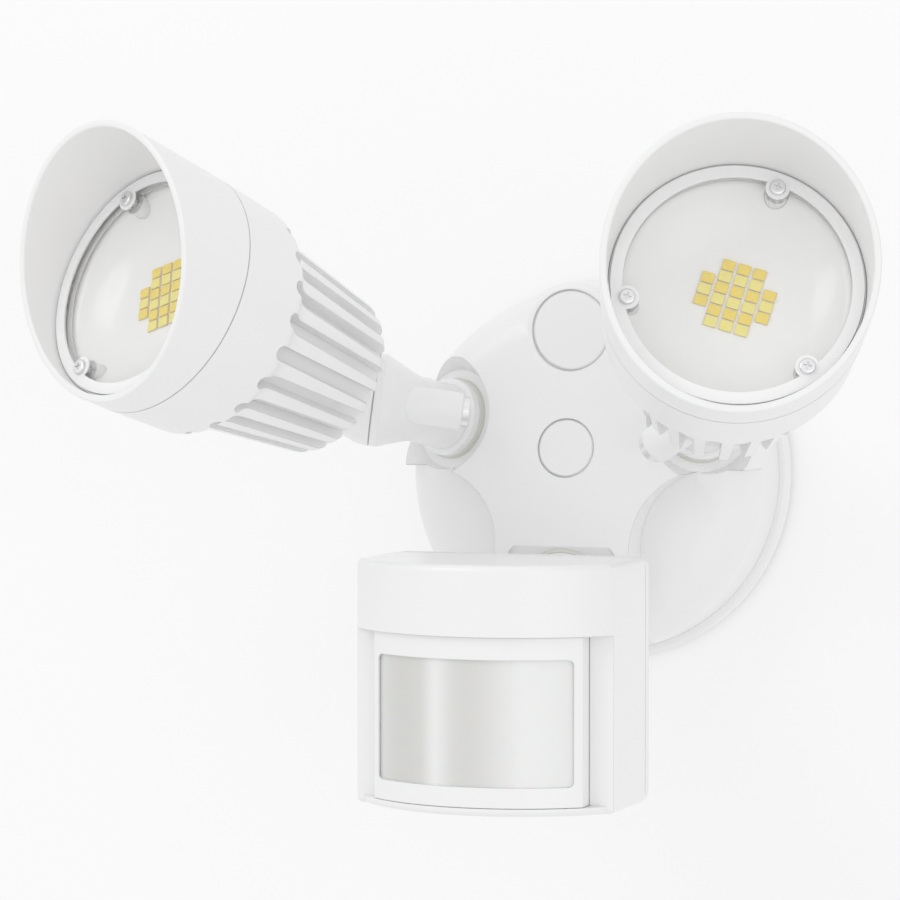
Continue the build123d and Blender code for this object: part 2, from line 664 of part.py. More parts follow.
def reflector(head, tab_angle):
    """The shallow white bowl, notched round the three screw posts."""
    floor = LED_FACE + BOWL_GAP
    rim = LENS_FACE - LENS_RIM_THICK - GASKET_SECTION
    middle = ((BOWL_FLOOR_RADIUS + BOWL_RADIUS) / 2, (floor + rim) / 2)
    slope = Vector(BOWL_RADIUS - BOWL_FLOOR_RADIUS, rim - floor).normalized()
    crown = (middle[0] + slope.Y * BOWL_SAG, middle[1] - slope.X * BOWL_SAG)
    shift = (slope.Y * BOWL_WALL, -slope.X * BOWL_WALL)
    inner = ThreePointArc((BOWL_FLOOR_RADIUS, floor), crown, (BOWL_RADIUS, rim))
    outer_start = (BOWL_RADIUS + BOWL_WALL, rim - BOWL_WALL)
    outer_end = (BOWL_FLOOR_RADIUS + BOWL_WALL / 2, floor)
    outer_mid = (crown[0] + shift[0], crown[1] + shift[1])
    outline = make_face(
        inner + Polyline((BOWL_RADIUS, rim), (CAVITY_RADIUS - BOWL_GAP, rim),
                         (CAVITY_RADIUS - BOWL_GAP, rim - BOWL_WALL), outer_start)
        + ThreePointArc(outer_start, outer_mid, outer_end)
        + Line(outer_end, (BOWL_FLOOR_RADIUS, floor)))
    bowl = turned(head, outline)
    for place in tab_places(tab_angle):
        bowl -= extrude(head.offset(CAVITY_FLOOR) * place * Circle(TAB_RADIUS + TAB_PLAY), FAR)
    return bowl


def lens_gasket(head, tab_angle):
    """The flat ring that seals the cover, notched round the screw posts."""
    front = LENS_FACE - LENS_RIM_THICK
    ring = tube(head, SPIGOT_RADIUS - GASKET_SETBACK, CAVITY_RADIUS, front - GASKET_SECTION, front)
    for place in tab_places(tab_angle):
        ring -= extrude(head.offset(CAVITY_FLOOR) * place * Circle(TAB_RADIUS + TAB_PLAY / 2), FAR)
    return ring


def front_lens(head, tab_angle):
    """The clear cover: a disc in a raised rim, with three screw tabs."""
    back = LENS_FACE - LENS_RIM_THICK
    face = LENS_FACE - LENS_FACE_DROP
    lens = tube(head, LENS_RADIUS, LENS_STEP_RADIUS, back, LENS_FACE)
    lens += rod(head, LENS_STEP_RADIUS, face - LENS_THICK, face)
    for place in tab_places(tab_angle):
        lens += extrude(head.offset(back) * place * Circle(TAB_RADIUS), LENS_RIM_THICK)
    for place in tab_places(tab_angle):
        lens -= extrude(head.offset(0) * place * Circle(LENS_SCREW_RADIUS + THREAD_PLAY), FAR)
    return lens


def lens_screws(head, tab_angle):
    screws = []
    for place in tab_places(tab_angle):
        shank = extrude(head.offset(LENS_FACE) * place * Circle(LENS_SCREW_RADIUS), -LENS_SCREW_LENGTH)
        cap = extrude(head.offset(LENS_FACE) * place * Circle(LENS_SCREW_HEAD), LENS_SCREW_HEAD_THICK)
        screws.append(shank + cap)
    return Compound(children=screws)


def sensor_arm(socket, pivot):
    """The sensor's arm: nipple, collar, and a fork of two round ears."""
    collar = rod(socket, SENSOR_COLLAR_RADIUS, SEAL_THICK, SEAL_THICK + COLLAR_THICK)
    collar = fillet(collar.edges().filter_by(GeomType.CIRCLE).sort_by_distance(socket.origin)[-1], COLLAR_EDGE)
    ears = None
    reach = SENSOR_REACH - SEAL_THICK - COLLAR_THICK
    side_plane = Plane(origin=pivot, x_dir=socket.z_dir, z_dir=(1, 0, 0))
    outline = Circle(EAR_RADIUS) + Pos(-reach / 2, 0) * Rectangle(reach, 2 * EAR_RADIUS)
    for side in (-1, 1):
        start = TONGUE_HALF + EAR_GAP if side > 0 else -TONGUE_HALF - EAR_GAP - EAR_THICK
        ear = extrude(side_plane.offset(start) * outline, EAR_THICK)
        ears = ear if ears is None else ears + ear
    ears &= rod(socket, SENSOR_COLLAR_RADIUS, SEAL_THICK + COLLAR_THICK, FAR)
    ears -= rod(side_plane, PIN_RADIUS + THREAD_PLAY, -FAR, FAR)
    return collar + ears + nipple(socket) - rod(socket, NIPPLE_HOLE, -NIPPLE_LENGTH, SEAL_THICK + COLLAR_THICK)


def sensor_pin(pivot):
    """The cross pin of the sensor's fork, headed at both ends."""
    plane = Plane(origin=pivot, x_dir=(0, 1, 0), z_dir=(1, 0, 0))
    half = TONGUE_HALF + EAR_GAP + EAR_THICK
    pin = rod(plane, PIN_RADIUS, -half, half)
    for side in (-1, 1):
        cap = rod(plane, PIN_HEAD_RADIUS, half, half + PIN_HEAD_THICK)
        pin += cap if side > 0 else mirror(cap, about=Plane.YZ)
    return pin


def sensor_outline(inset):
    """The sensor's plan: straight sides and a bowed front, moved inwards by inset."""
    half = SENSOR_HALF - inset
    sag = SENSOR_NOSE - SENSOR_CHORD
    bow = (SENSOR_HALF ** 2 + sag ** 2) / (2 * sag)
    centre = SENSOR_NOSE - bow
    radius = bow - inset
    chord = centre + sqrt(radius ** 2 - half ** 2)
    sides = Polyline((-half, -chord), (-half, -SENSOR_BACK), (half, -SENSOR_BACK), (half, -chord))
    return make_face(sides + ThreePointArc((half, -chord), (0, -centre - radius), (-half, -chord)))


def slab(outline, low, high):
    return extrude(Plane.XY.offset(low) * outline, high - low)


def cap_low():
    return SENSOR_TOP - SENSOR_CAP_HEIGHT


def sensor_posts():
    """The places of the four corner screws, as (across, height)."""
    across = SENSOR_HALF - SENSOR_POST_INSET
    top = SENSOR_TOP - SENSOR_POST_INSET
    bottom = SENSOR_BOTTOM + FLOOR_THICK + SENSOR_POST_RADIUS - SENSOR_POST_SINK
    return [(x, z) for x in (-across, across) for z in (top, bottom)]


def dial_places():
    return [-DIAL_SPACING / 2, DIAL_SPACING / 2]


def sensor_housing():
    """The sensor's shell: overhanging cap, side pillars, recessed strips, and a thin base."""
    cap = slab(sensor_outline(0), cap_low(), SENSOR_TOP)
    cap = fillet(cap.edges().group_by(Axis.Z)[-1], SENSOR_EDGE)
    depth = SENSOR_CHORD - SENSOR_BACK
    pillars = Pos(0, -(SENSOR_BACK + depth / 2)) * Rectangle(2 * SENSOR_HALF, depth)
    lower = slab(pillars, SENSOR_BOTTOM, cap_low())
    lower += slab(sensor_outline(STRIP_SETBACK), SENSOR_BOTTOM, cap_low())
    lower += slab(sensor_outline(LENS_SETBACK), SENSOR_BOTTOM, SENSOR_BOTTOM + BASE_THICK)
    lower = fillet(lower.edges().group_by(Axis.Z)[0], BASE_EDGE)
    shell = cap + lower
    seat = sensor_outline(0) - sensor_outline(STRIP_SETBACK)
    seat &= Pos(0, -SENSOR_NOSE) * Rectangle(2 * (FRAME_HALF + FRAME_GAP), SENSOR_NOSE)
    shell -= slab(seat, SENSOR_BOTTOM + BASE_THICK, cap_low())
    inner = sensor_outline(STRIP_SETBACK + SENSOR_WALL)
    shell -= slab(inner, SENSOR_BOTTOM + FLOOR_THICK, SENSOR_TOP - SENSOR_WALL)
    box_half = SENSOR_HALF - SENSOR_WALL
    box = Pos(0, -SENSOR_BACK - depth / 2 + SENSOR_WALL) * Rectangle(2 * box_half, depth)
    shell -= slab(box, SENSOR_BOTTOM + FLOOR_THICK, SENSOR_TOP - SENSOR_WALL)
    window = Rectangle(2 * (WINDOW_HALF - WINDOW_SEAT), WINDOW_HEIGHT - 2 * WINDOW_SEAT)
    window = Pos(0, SENSOR_TOP - WINDOW_TOP - WINDOW_HEIGHT / 2) * window
    shell -= extrude(WALL.offset(SENSOR_BACK + depth / 2) * window, FAR)
    for x, z in sensor_posts():
        post_end = SENSOR_BACK + SENSOR_SCREW_LENGTH + SENSOR_POST_END
        shell += wall_disc(SENSOR_POST_RADIUS, SENSOR_BACK, post_end, x, z)
    for x, z in sensor_posts():
        shell -= wall_disc(SENSOR_SCREW_RADIUS + THREAD_PLAY, 0, SENSOR_BACK + SENSOR_SCREW_LENGTH, x, z)
    for x in dial_places():
        well = Pos(x, -DIAL_DEPTH) * Circle(DIAL_RADIUS + DIAL_PLAY)
        shell -= slab(well, SENSOR_BOTTOM, SENSOR_BOTTOM + FLOOR_THICK)
    return shell


def bowed_band(inset, thick, half, low, high):
    """A band that follows the bowed front, between two heights."""
    band = sensor_outline(inset) - sensor_outline(inset + thick)
    band &= Pos(0, -SENSOR_NOSE) * Rectangle(2 * half, 2 * (SENSOR_NOSE - SENSOR_BACK))
    return slab(band, low, high)


def lens_frame():
    """The bowed frame that holds the sensor's window, between the cap and the base."""
    low = SENSOR_BOTTOM + BASE_THICK + FRAME_GAP
    high = cap_low() - FRAME_GAP
    thick = STRIP_SETBACK - LENS_SETBACK - FRAME_GAP
    frame = bowed_band(LENS_SETBACK, thick, FRAME_HALF, low, high)
    top = SENSOR_TOP - WINDOW_TOP
    window = Pos(0, top - WINDOW_HEIGHT / 2) * RectangleRounded(2 * WINDOW_HALF, WINDOW_HEIGHT, WINDOW_CORNER)
    frame -= extrude(WALL.offset(SENSOR_BACK) * window, FAR)
    lap = FRESNEL_LAP + FRESNEL_PLAY
    return frame - bowed_band(LENS_SETBACK + FRESNEL_SETBACK, thick, WINDOW_HALF + lap,
                              top - WINDOW_HEIGHT - lap, top + lap)


def fresnel_lens():
    """The milky sensor window, bowed, with upright ribs between its facets."""
    top = SENSOR_TOP - WINDOW_TOP + FRESNEL_LAP
    low = SENSOR_TOP - WINDOW_TOP - WINDOW_HEIGHT - FRESNEL_LAP
    inset = LENS_SETBACK + FRESNEL_SETBACK + THREAD_PLAY
    lens = bowed_band(inset, FRESNEL_THICK, WINDOW_HALF + FRESNEL_LAP, low, top)
    pitch = 2 * WINDOW_HALF / FRESNEL_FACETS
    for index in range(1, FRESNEL_FACETS):
        middle = -WINDOW_HALF + index * pitch
        rib = sensor_outline(inset + FRESNEL_THICK) - sensor_outline(inset + FRESNEL_THICK + FRESNEL_RIB)
        rib &= Pos(middle, -SENSOR_NOSE) * Rectangle(FRESNEL_RIB_WIDTH, 2 * (SENSOR_NOSE - SENSOR_BACK))
        lens += slab(rib, low, top)
    return lens


def rear_cover(pivot):
    """The sensor's back: plate, hollow tapered bulge, neck, and the tongue that the fork holds."""
    height = SENSOR_TOP - SENSOR_BOTTOM
    middle = (SENSOR_TOP + SENSOR_BOTTOM) / 2
    plate_depth = SENSOR_BACK - EAR_GAP
    bulge_front = plate_depth - REAR_PLATE
    bulge_back = bulge_front - REAR_BULGE
    plate = Pos(0, middle) * RectangleRounded(2 * SENSOR_HALF, height, SENSOR_CORNER)
    cover = extrude(WALL.offset(bulge_front) * plate, REAR_PLATE)

    def bulge(wall, back, front):
        width = 2 * (SENSOR_HALF - REAR_INSET - wall)
        foot = Pos(0, middle) * RectangleRounded(width, height - 2 * (REAR_INSET + wall), SENSOR_CORNER)
        top = RectangleRounded(REAR_WIDTH - 2 * wall, REAR_HEIGHT - 2 * wall, REAR_EDGE)
        return loft([WALL.offset(back) * Pos(0, pivot.Z - REAR_DROP) * top, WALL.offset(front) * foot])

    hollow = bulge(REAR_WALL, bulge_back + REAR_WALL, plate_depth)
    for x, z in sensor_posts():
        hollow -= wall_disc(SENSOR_SCREW_HEAD + SCREW_PLAY + REAR_WALL, 0, FAR, x, z)
    cover = cover + bulge(0, bulge_back, bulge_front) - hollow
    cover += wall_disc(NECK_RADIUS, -pivot.Y + EAR_RADIUS + NECK_CLEAR, bulge_back, 0, pivot.Z)
    tongue_plane = Plane(origin=pivot, x_dir=(0, -1, 0), z_dir=(1, 0, 0))
    reach = EAR_RADIUS + 2 * NECK_CLEAR
    outline = Circle(EAR_RADIUS) + Pos(reach / 2, 0) * Rectangle(reach, 2 * EAR_RADIUS)
    cover += extrude(tongue_plane.offset(-TONGUE_HALF) * outline, 2 * TONGUE_HALF)
    cover -= rod(tongue_plane, PIN_RADIUS + THREAD_PLAY, -FAR, FAR)
    for x, z in sensor_posts():
        cover -= wall_disc(SENSOR_SCREW_RADIUS + SCREW_PLAY, 0, FAR, x, z)
        cover -= wall_disc(SENSOR_SCREW_HEAD + SCREW_PLAY, 0, bulge_front + SENSOR_SCREW_SEAT, x, z)
    return cover


def sensor_screws():
    seat = SENSOR_BACK - EAR_GAP - REAR_PLATE + SENSOR_SCREW_SEAT
    screws = []
    for x, z in sensor_posts():
        shank = wall_disc(SENSOR_SCREW_RADIUS, seat, SENSOR_BACK + SENSOR_SCREW_LENGTH - HOLE_SPARE, x, z)
        head = wall_disc(SENSOR_SCREW_HEAD, seat - SENSOR_SCREW_HEAD_THICK, seat, x, z)
        screws.append(shank + head)
    return Compound(children=screws)


def sensor_board():
    middle = (SENSOR_TOP + SENSOR_BOTTOM) / 2
    board = Pos(0, middle) * RectangleRounded(BOARD_WIDTH, BOARD_HEIGHT, BOARD_CORNER)
    return extrude(WALL.offset(BOARD_DEPTH) * board, BOARD_THICK)


def pyro_sensor():
    """The heat-sensing can on the board, with its square window raised on the front."""
    back = BOARD_DEPTH + BOARD_THICK
    can = wall_disc(PYRO_RADIUS, back, back + PYRO_BRIM_THICK, 0, PYRO_HEIGHT)
    can += wall_disc(PYRO_RADIUS - PYRO_BRIM, back, back + PYRO_LENGTH, 0, PYRO_HEIGHT)
    window = Pos(0, PYRO_HEIGHT) * Rectangle(PYRO_WINDOW_WIDTH, PYRO_WINDOW_HEIGHT)
    return can - extrude(WALL.offset(back + PYRO_LENGTH - PYRO_WINDOW_DEPTH) * window, PYRO_LENGTH)


def pot_low():
    return SENSOR_BOTTOM + BASE_THICK + POT_GAP


def control_pots():
    """The two small rotary controls on the board's lower edge, one above each dial."""
    pots = []
    back = BOARD_DEPTH + BOARD_THICK
    for x in dial_places():
        outline = Pos(x, -back - POT_SIZE / 2) * Rectangle(POT_SIZE, POT_SIZE)
        pot = slab(outline, pot_low(), pot_low() + POT_HEIGHT)
        hole = Pos(x, -DIAL_DEPTH) * Circle(DIAL_SHAFT + THREAD_PLAY)
        pots.append(pot - slab(hole, pot_low(), pot_low() + POT_HEIGHT - POT_ROOF))
    return Compound(children=pots)


def control_dial(x):
    """A dial in the sensor's base: a many-sided disc with a driver slot, on a short shaft."""
    low = SENSOR_BOTTOM + DIAL_SETBACK
    place = Pos(x, -DIAL_DEPTH)
    dial = slab(place * RegularPolygon(DIAL_RADIUS, DIAL_SIDES), low, low + DIAL_THICK)
    dial -= slab(place * Rectangle(2 * (DIAL_RADIUS - DIAL_SHAFT), DIAL_SLOT), low, low + DIAL_SLOT_DEPTH)
    shaft_top = pot_low() + POT_HEIGHT - POT_ROOF - DIAL_PLAY
    return dial + slab(place * Circle(DIAL_SHAFT), low + DIAL_THICK, shaft_top)


def head_parts(name, side, yaw, pitch, tab_angle):
    """All the pieces of one lamp head with its arm, by node name."""
    arm_aim = direction(side * SOCKET_YAW, SOCKET_PITCH)
    head_aim = direction(yaw, pitch)
    socket_centre = Vector(side * SOCKET_SIDE, -SOCKET_DEPTH, SOCKET_HEIGHT)
    pivot = socket_centre + arm_aim * ARM_LENGTH
    socket = aimed_plane(socket_centre, arm_aim)
    head = aimed_plane(pivot, head_aim)
    pivot_axis = mitre_axis(arm_aim, head_aim, side)
    seam = aimed_plane(pivot, pivot_axis)
    print(name, "pivot", [round(v, 3) for v in pivot], "swivel axis", [round(v, 5) for v in arm_aim],
          "pivot axis", [round(v, 5) for v in pivot_axis])
    return {
        name + "_socket_seal": socket_seal(socket, SEAL_RADIUS),
        name + "_locknut": locknut(socket),
        name + "_arm": mitre_arm(socket, seam),
        name + "_lock_screw": lock_screw(socket),
        name + "_pivot_bolt": pivot_bolt(seam),
        name + "_rear_elbow": rear_elbow(head, seam),
        name + "_heat_sink": heat_sink(head, tab_angle),
        name + "_visor_hood": visor_hood(head),
        name + "_led_board": led_board(head),
        name + "_led_chips": led_chips(head, side * CHIP_TILT),
        name + "_reflector": reflector(head, tab_angle),
        name + "_lens_gasket": lens_gasket(head, tab_angle),
        name + "_front_lens": front_lens(head, tab_angle),
        name + "_lens_screws": lens_screws(head, tab_angle),
    }, socket


def sensor_parts():
    aim = direction(0, SENSOR_SOCKET_PITCH)
    centre = Vector(0, -SENSOR_SOCKET_DEPTH, SENSOR_SOCKET_HEIGHT)
    pivot = centre + aim * SENSOR_REACH
    socket = aimed_plane(centre, aim)
    time_place, range_place = dial_places()
    print("sensor pivot", [round(v, 3) for v in pivot], "swivel axis", [round(v, 5) for v in aim])
    return {
        "sensor_socket_seal": socket_seal(socket, SENSOR_SEAL_RADIUS),
        "sensor_locknut": locknut(socket),
        "sensor_arm": sensor_arm(socket, pivot),
        "sensor_pivot_pin": sensor_pin(pivot),
        "sensor_housing": sensor_housing(),
        "sensor_lens_frame": lens_frame(),
        "sensor_fresnel_lens": fresnel_lens(),
        "sensor_rear_cover": rear_cover(pivot),
        "sensor_screws": sensor_screws(),
        "sensor_board": sensor_board(),
        "pyro_sensor": pyro_sensor(),
        "control_pots": control_pots(),
        "time_dial": control_dial(time_place),
        "range_dial": control_dial(range_place),
    }, socket


def main():
    left, left_socket = head_parts("left", -1, LEFT_HEAD_YAW, LEFT_HEAD_PITCH, LEFT_TAB_ANGLE)
    right, right_socket = head_parts("right", 1, RIGHT_HEAD_YAW, RIGHT_HEAD_PITCH, RIGHT_TAB_ANGLE)
    sensor, sensor_socket = sensor_parts()
    parts = {
        "canopy_housing": canopy_housing((left_socket, right_socket), sensor_socket),
        "wall_gasket": wall_gasket(),
        "mounting_bracket": mounting_bracket(),
        "canopy_screw": canopy_screw(),
        "screw_cap": screw_cap(),
        "top_plug": top_plug(),
        "driver_module": driver_module(),
    }
    parts.update(left)
    parts.update(right)
    parts.update(sensor)
    os.makedirs("parts", exist_ok=True)
    for name, shape in parts.items():
        export_step(shape, "parts/" + name + ".step")
    print(len(parts), "nodes written")


main()
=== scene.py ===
import bpy, bmesh, json, math
from mathutils import Matrix, Vector

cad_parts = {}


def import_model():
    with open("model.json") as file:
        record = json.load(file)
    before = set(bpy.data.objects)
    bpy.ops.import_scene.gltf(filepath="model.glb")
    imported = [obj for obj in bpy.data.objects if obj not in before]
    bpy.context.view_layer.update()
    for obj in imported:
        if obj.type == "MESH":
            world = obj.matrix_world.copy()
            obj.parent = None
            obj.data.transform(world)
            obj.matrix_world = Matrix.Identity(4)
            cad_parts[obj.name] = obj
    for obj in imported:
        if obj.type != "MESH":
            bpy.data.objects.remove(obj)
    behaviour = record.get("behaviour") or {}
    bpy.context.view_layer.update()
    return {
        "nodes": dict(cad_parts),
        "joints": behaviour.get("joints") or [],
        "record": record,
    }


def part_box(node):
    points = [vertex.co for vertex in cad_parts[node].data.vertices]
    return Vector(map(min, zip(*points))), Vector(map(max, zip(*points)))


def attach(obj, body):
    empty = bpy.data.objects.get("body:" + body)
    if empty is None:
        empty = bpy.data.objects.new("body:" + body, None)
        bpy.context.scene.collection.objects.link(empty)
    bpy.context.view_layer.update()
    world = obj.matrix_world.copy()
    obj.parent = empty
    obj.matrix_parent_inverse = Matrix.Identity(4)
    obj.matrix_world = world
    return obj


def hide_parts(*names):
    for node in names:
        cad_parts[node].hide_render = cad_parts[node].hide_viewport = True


mm = 0.001          # a length written with this is in millimetres, and any other is in metres
softCorner = 40     # degrees: broad pieces are shaded smooth over edges flatter than this
crispCorner = 30    # degrees: the same for screws
levelFace = 0.9     # a face looks up or down when its normal's z is beyond this
bevelSamples = 4    # rays with which a finish softens the look of sharp edges


photoCamera = {
    "turn": 20.5,          # degrees to the right of straight ahead
    "lift": 2.5,           # degrees above level
    "distance": 1300 * mm,
    "aimSide": -51.9 * mm,
    "aimUp": 6.4 * mm,
    "lens": 162.2,
    "sensor": 36.0,
}

studio = {
    "worldStrength": 0.84,
    "lamps": {
        "keyLamp": {"place": (-0.85, -1.2, 1.0), "size": 1.0, "power": 3.8},
        "fillLamp": {"place": (1.1, -1.3, 0.1), "size": 1.4, "power": 2.8},
        "topLamp": {"place": (-0.1, -0.55, 1.2), "size": 0.8, "power": 0.3},
    },
    "aim": (0.0, -0.08, 0.0),
}

backdrop = {
    "width": 4.0, "height": 1.7, "floorDrop": 0.55, "floorDepth": 2.6,
    "sweepRadius": 0.25, "sweepSteps": 12, "gap": 0.3 * mm,
    "color": (0.95, 0.95, 0.955, 1), "paper": 0.5,
}


def vectorTowards(turn, lift):
    # a unit vector, turned from straight ahead (-Y) to the right and lifted
    level = math.cos(math.radians(lift))
    return Vector((math.sin(math.radians(turn)) * level, -math.cos(math.radians(turn)) * level,
                   math.sin(math.radians(lift))))


def addCamera(view):
    towards = vectorTowards(view["turn"], view["lift"])
    right = Vector((math.cos(math.radians(view["turn"])), math.sin(math.radians(view["turn"])), 0))
    up = towards.cross(right)
    place = towards * view["distance"] + right * view["aimSide"] + up * view["aimUp"]
    data = bpy.data.cameras.new("photoCamera")
    data.lens = view["lens"]
    data.sensor_width = view["sensor"]
    data.clip_start = 0.05
    camera = bpy.data.objects.new("photoCamera", data)
    bpy.context.scene.collection.objects.link(camera)
    camera.matrix_world = Matrix.Translation(place) @ Matrix((right, up, towards)).transposed().to_4x4()
    bpy.context.scene.camera = camera
    print("camera placed", [round(v, 4) for v in place])


def addLamp(name, look):
    # a round soft lamp that looks at the object
    data = bpy.data.lights.new(name, "AREA")
    data.shape = "DISK"
    data.size = look["size"]
    data.energy = look["power"]
    lamp = bpy.data.objects.new(name, data)
    bpy.context.scene.collection.objects.link(lamp)
    lamp.location = look["place"]
    lamp.rotation_euler = (Vector(studio["aim"]) - Vector(look["place"])).to_track_quat("-Z", "Y").to_euler()


def seenRay(nodes, links):
    # 1 where the background is seen: straight on, in a reflection or through something clear
    path = nodes.new("ShaderNodeLightPath")
    seen = path.outputs["Is Camera Ray"]
    for ray in ("Is Glossy Ray", "Is Transmission Ray"):
        either = nodes.new("ShaderNodeMath")
        either.operation = "MAXIMUM"
        links.new(seen, either.inputs[0])
        links.new(path.outputs[ray], either.inputs[1])
        seen = either.outputs[0]
    return seen


def addStudio():
    for name, look in studio["lamps"].items():
        addLamp(name, look)
    world = bpy.data.worlds.new("paleRoom")
    bpy.context.scene.world = world
    world.use_nodes = True
    nodes, links = world.node_tree.nodes, world.node_tree.links
    back = nodes["Background"]
    back.inputs["Color"].default_value = (1, 1, 1, 1)
    level = nodes.new("ShaderNodeMapRange")
    level.inputs["To Min"].default_value = studio["worldStrength"]
    level.inputs["To Max"].default_value = 1.0
    links.new(seenRay(nodes, links), level.inputs["Value"])
    links.new(level.outputs["Result"], back.inputs["Strength"])
    bpy.context.scene.view_settings.view_transform = "Standard"
    print("studio lit")


def deselectAll():
    if bpy.context.object and bpy.context.object.mode != "OBJECT":
        bpy.ops.object.mode_set(mode="OBJECT")
    bpy.ops.object.select_all(action="DESELECT")


def pick(obj):
    deselectAll()
    obj.select_set(True)
    bpy.context.view_layer.objects.active = obj


def addModifier(obj, kind, **values):
    modifier = obj.modifiers.new(kind.title(), kind)
    for key, value in values.items():
        setattr(modifier, key, value)
    pick(obj)
    bpy.ops.object.modifier_apply(modifier=modifier.name)


def settle(obj, place=None):
    # puts the object's place into its mesh, so the object itself sits at the origin
    if place is not None:
        obj.matrix_world = place @ obj.matrix_world
        bpy.context.view_layer.update()
    pick(obj)
    bpy.ops.object.transform_apply(location=True, rotation=True, scale=True)


def copyOf(obj, place):
    twin = obj.copy()
    twin.data = obj.data.copy()
    bpy.context.scene.collection.objects.link(twin)
    twin.matrix_world = place @ obj.matrix_world
    return twin


def joinAll(pieces, name):
    deselectAll()
    for piece in pieces:
        piece.select_set(True)
    bpy.context.view_layer.objects.active = pieces[0]
    bpy.ops.object.join()
    whole = bpy.context.object
    whole.name = name
    settle(whole)
    return whole


def smooth(obj, angle):
    pick(obj)
    bpy.ops.object.shade_smooth_by_angle(angle=math.radians(angle))


def makeBlock(size, place, turn=0.0):
    deselectAll()
    bpy.ops.mesh.primitive_cube_add(size=1, location=place, rotation=(0, 0, turn))
    block = bpy.context.object
    block.scale = size
    bpy.ops.object.transform_apply(location=True, rotation=True, scale=True)
    return block


def selectWhere(obj, kind, wanted):
    # in edit mode: selects the edges or the faces that pass a test, and nothing else
    bpy.context.tool_settings.mesh_select_mode = (False, kind == "edges", kind == "faces")
    bpy.ops.mesh.select_all(action="DESELECT")
    form = bmesh.from_edit_mesh(obj.data)
    for item in getattr(form, kind):
        item.select = wanted(item)
    bmesh.update_edit_mesh(obj.data)


def dress(obj, material, body):
    obj.data.materials.clear()
    obj.data.materials.append(material)
    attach(obj, body)


def newMaterial(name):
    material = bpy.data.materials.new(name)
    material.use_nodes = True
    return material, material.node_tree.nodes, material.node_tree.links


def addNoise(nodes, links, coordinate, scale, detail=3.0):
    noise = nodes.new("ShaderNodeTexNoise")
    noise.inputs["Scale"].default_value = scale
    noise.inputs["Detail"].default_value = detail
    links.new(coordinate, noise.inputs["Vector"])
    return noise.outputs["Fac"]


def mixTone(nodes, links, shader, amount, first, second):
    tone = nodes.new("ShaderNodeMix")
    tone.data_type = "RGBA"
    tone.inputs["A"].default_value = (*first, 1)
    tone.inputs["B"].default_value = (*second, 1)
    links.new(amount, tone.inputs["Factor"])
    links.new(tone.outputs["Result"], shader.inputs["Base Color"])


def varyRoughness(nodes, links, shader, amount, span):
    rough = nodes.new("ShaderNodeMapRange")
    rough.inputs["To Min"].default_value = span[0]
    rough.inputs["To Max"].default_value = span[1]
    links.new(amount, rough.inputs["Value"])
    links.new(rough.outputs["Result"], shader.inputs["Roughness"])


def softEdge(nodes, radius):
    edge = nodes.new("ShaderNodeBevel")
    edge.samples = bevelSamples
    edge.inputs["Radius"].default_value = radius
    return edge.outputs["Normal"]


def addSkin(nodes, links, shader, height, strength, depth):
    # a fine bump over the whole surface
    bump = nodes.new("ShaderNodeBump")
    bump.inputs["Strength"].default_value = strength
    bump.inputs["Distance"].default_value = depth
    links.new(height, bump.inputs["Height"])
    links.new(bump.outputs["Normal"], shader.inputs["Normal"])
    return bump


mouldedSkin = {
    "unevenScale": 4,      # the sheen varies this many times finer than the tone
    "grainDetail": 2.0, "specular": 0.5, "coatRough": 0.12,
}


def moulded(name, look):
    # one finish for painted, moulded and rubber pieces: soft edges, a fine skin and a slight unevenness
    material, nodes, links = newMaterial(name)
    shader = nodes["Principled BSDF"]
    coordinate = nodes.new("ShaderNodeTexCoord").outputs["Object"]
    cloud = addNoise(nodes, links, coordinate, look["cloud"])
    mixTone(nodes, links, shader, cloud, look["color"], look["shade"])
    uneven = addNoise(nodes, links, coordinate, look["cloud"] * mouldedSkin["unevenScale"])
    varyRoughness(nodes, links, shader, uneven, look["rough"])
    grain = addNoise(nodes, links, coordinate, look["grain"], mouldedSkin["grainDetail"])
    skin = addSkin(nodes, links, shader, grain, look["skin"], look["skinDepth"])
    links.new(softEdge(nodes, look["edge"]), skin.inputs["Normal"])
    shader.inputs["Specular IOR Level"].default_value = look.get("specular", mouldedSkin["specular"])
    shader.inputs["Coat Weight"].default_value = look.get("coat", 0.0)
    shader.inputs["Coat Roughness"].default_value = mouldedSkin["coatRough"]
    return material


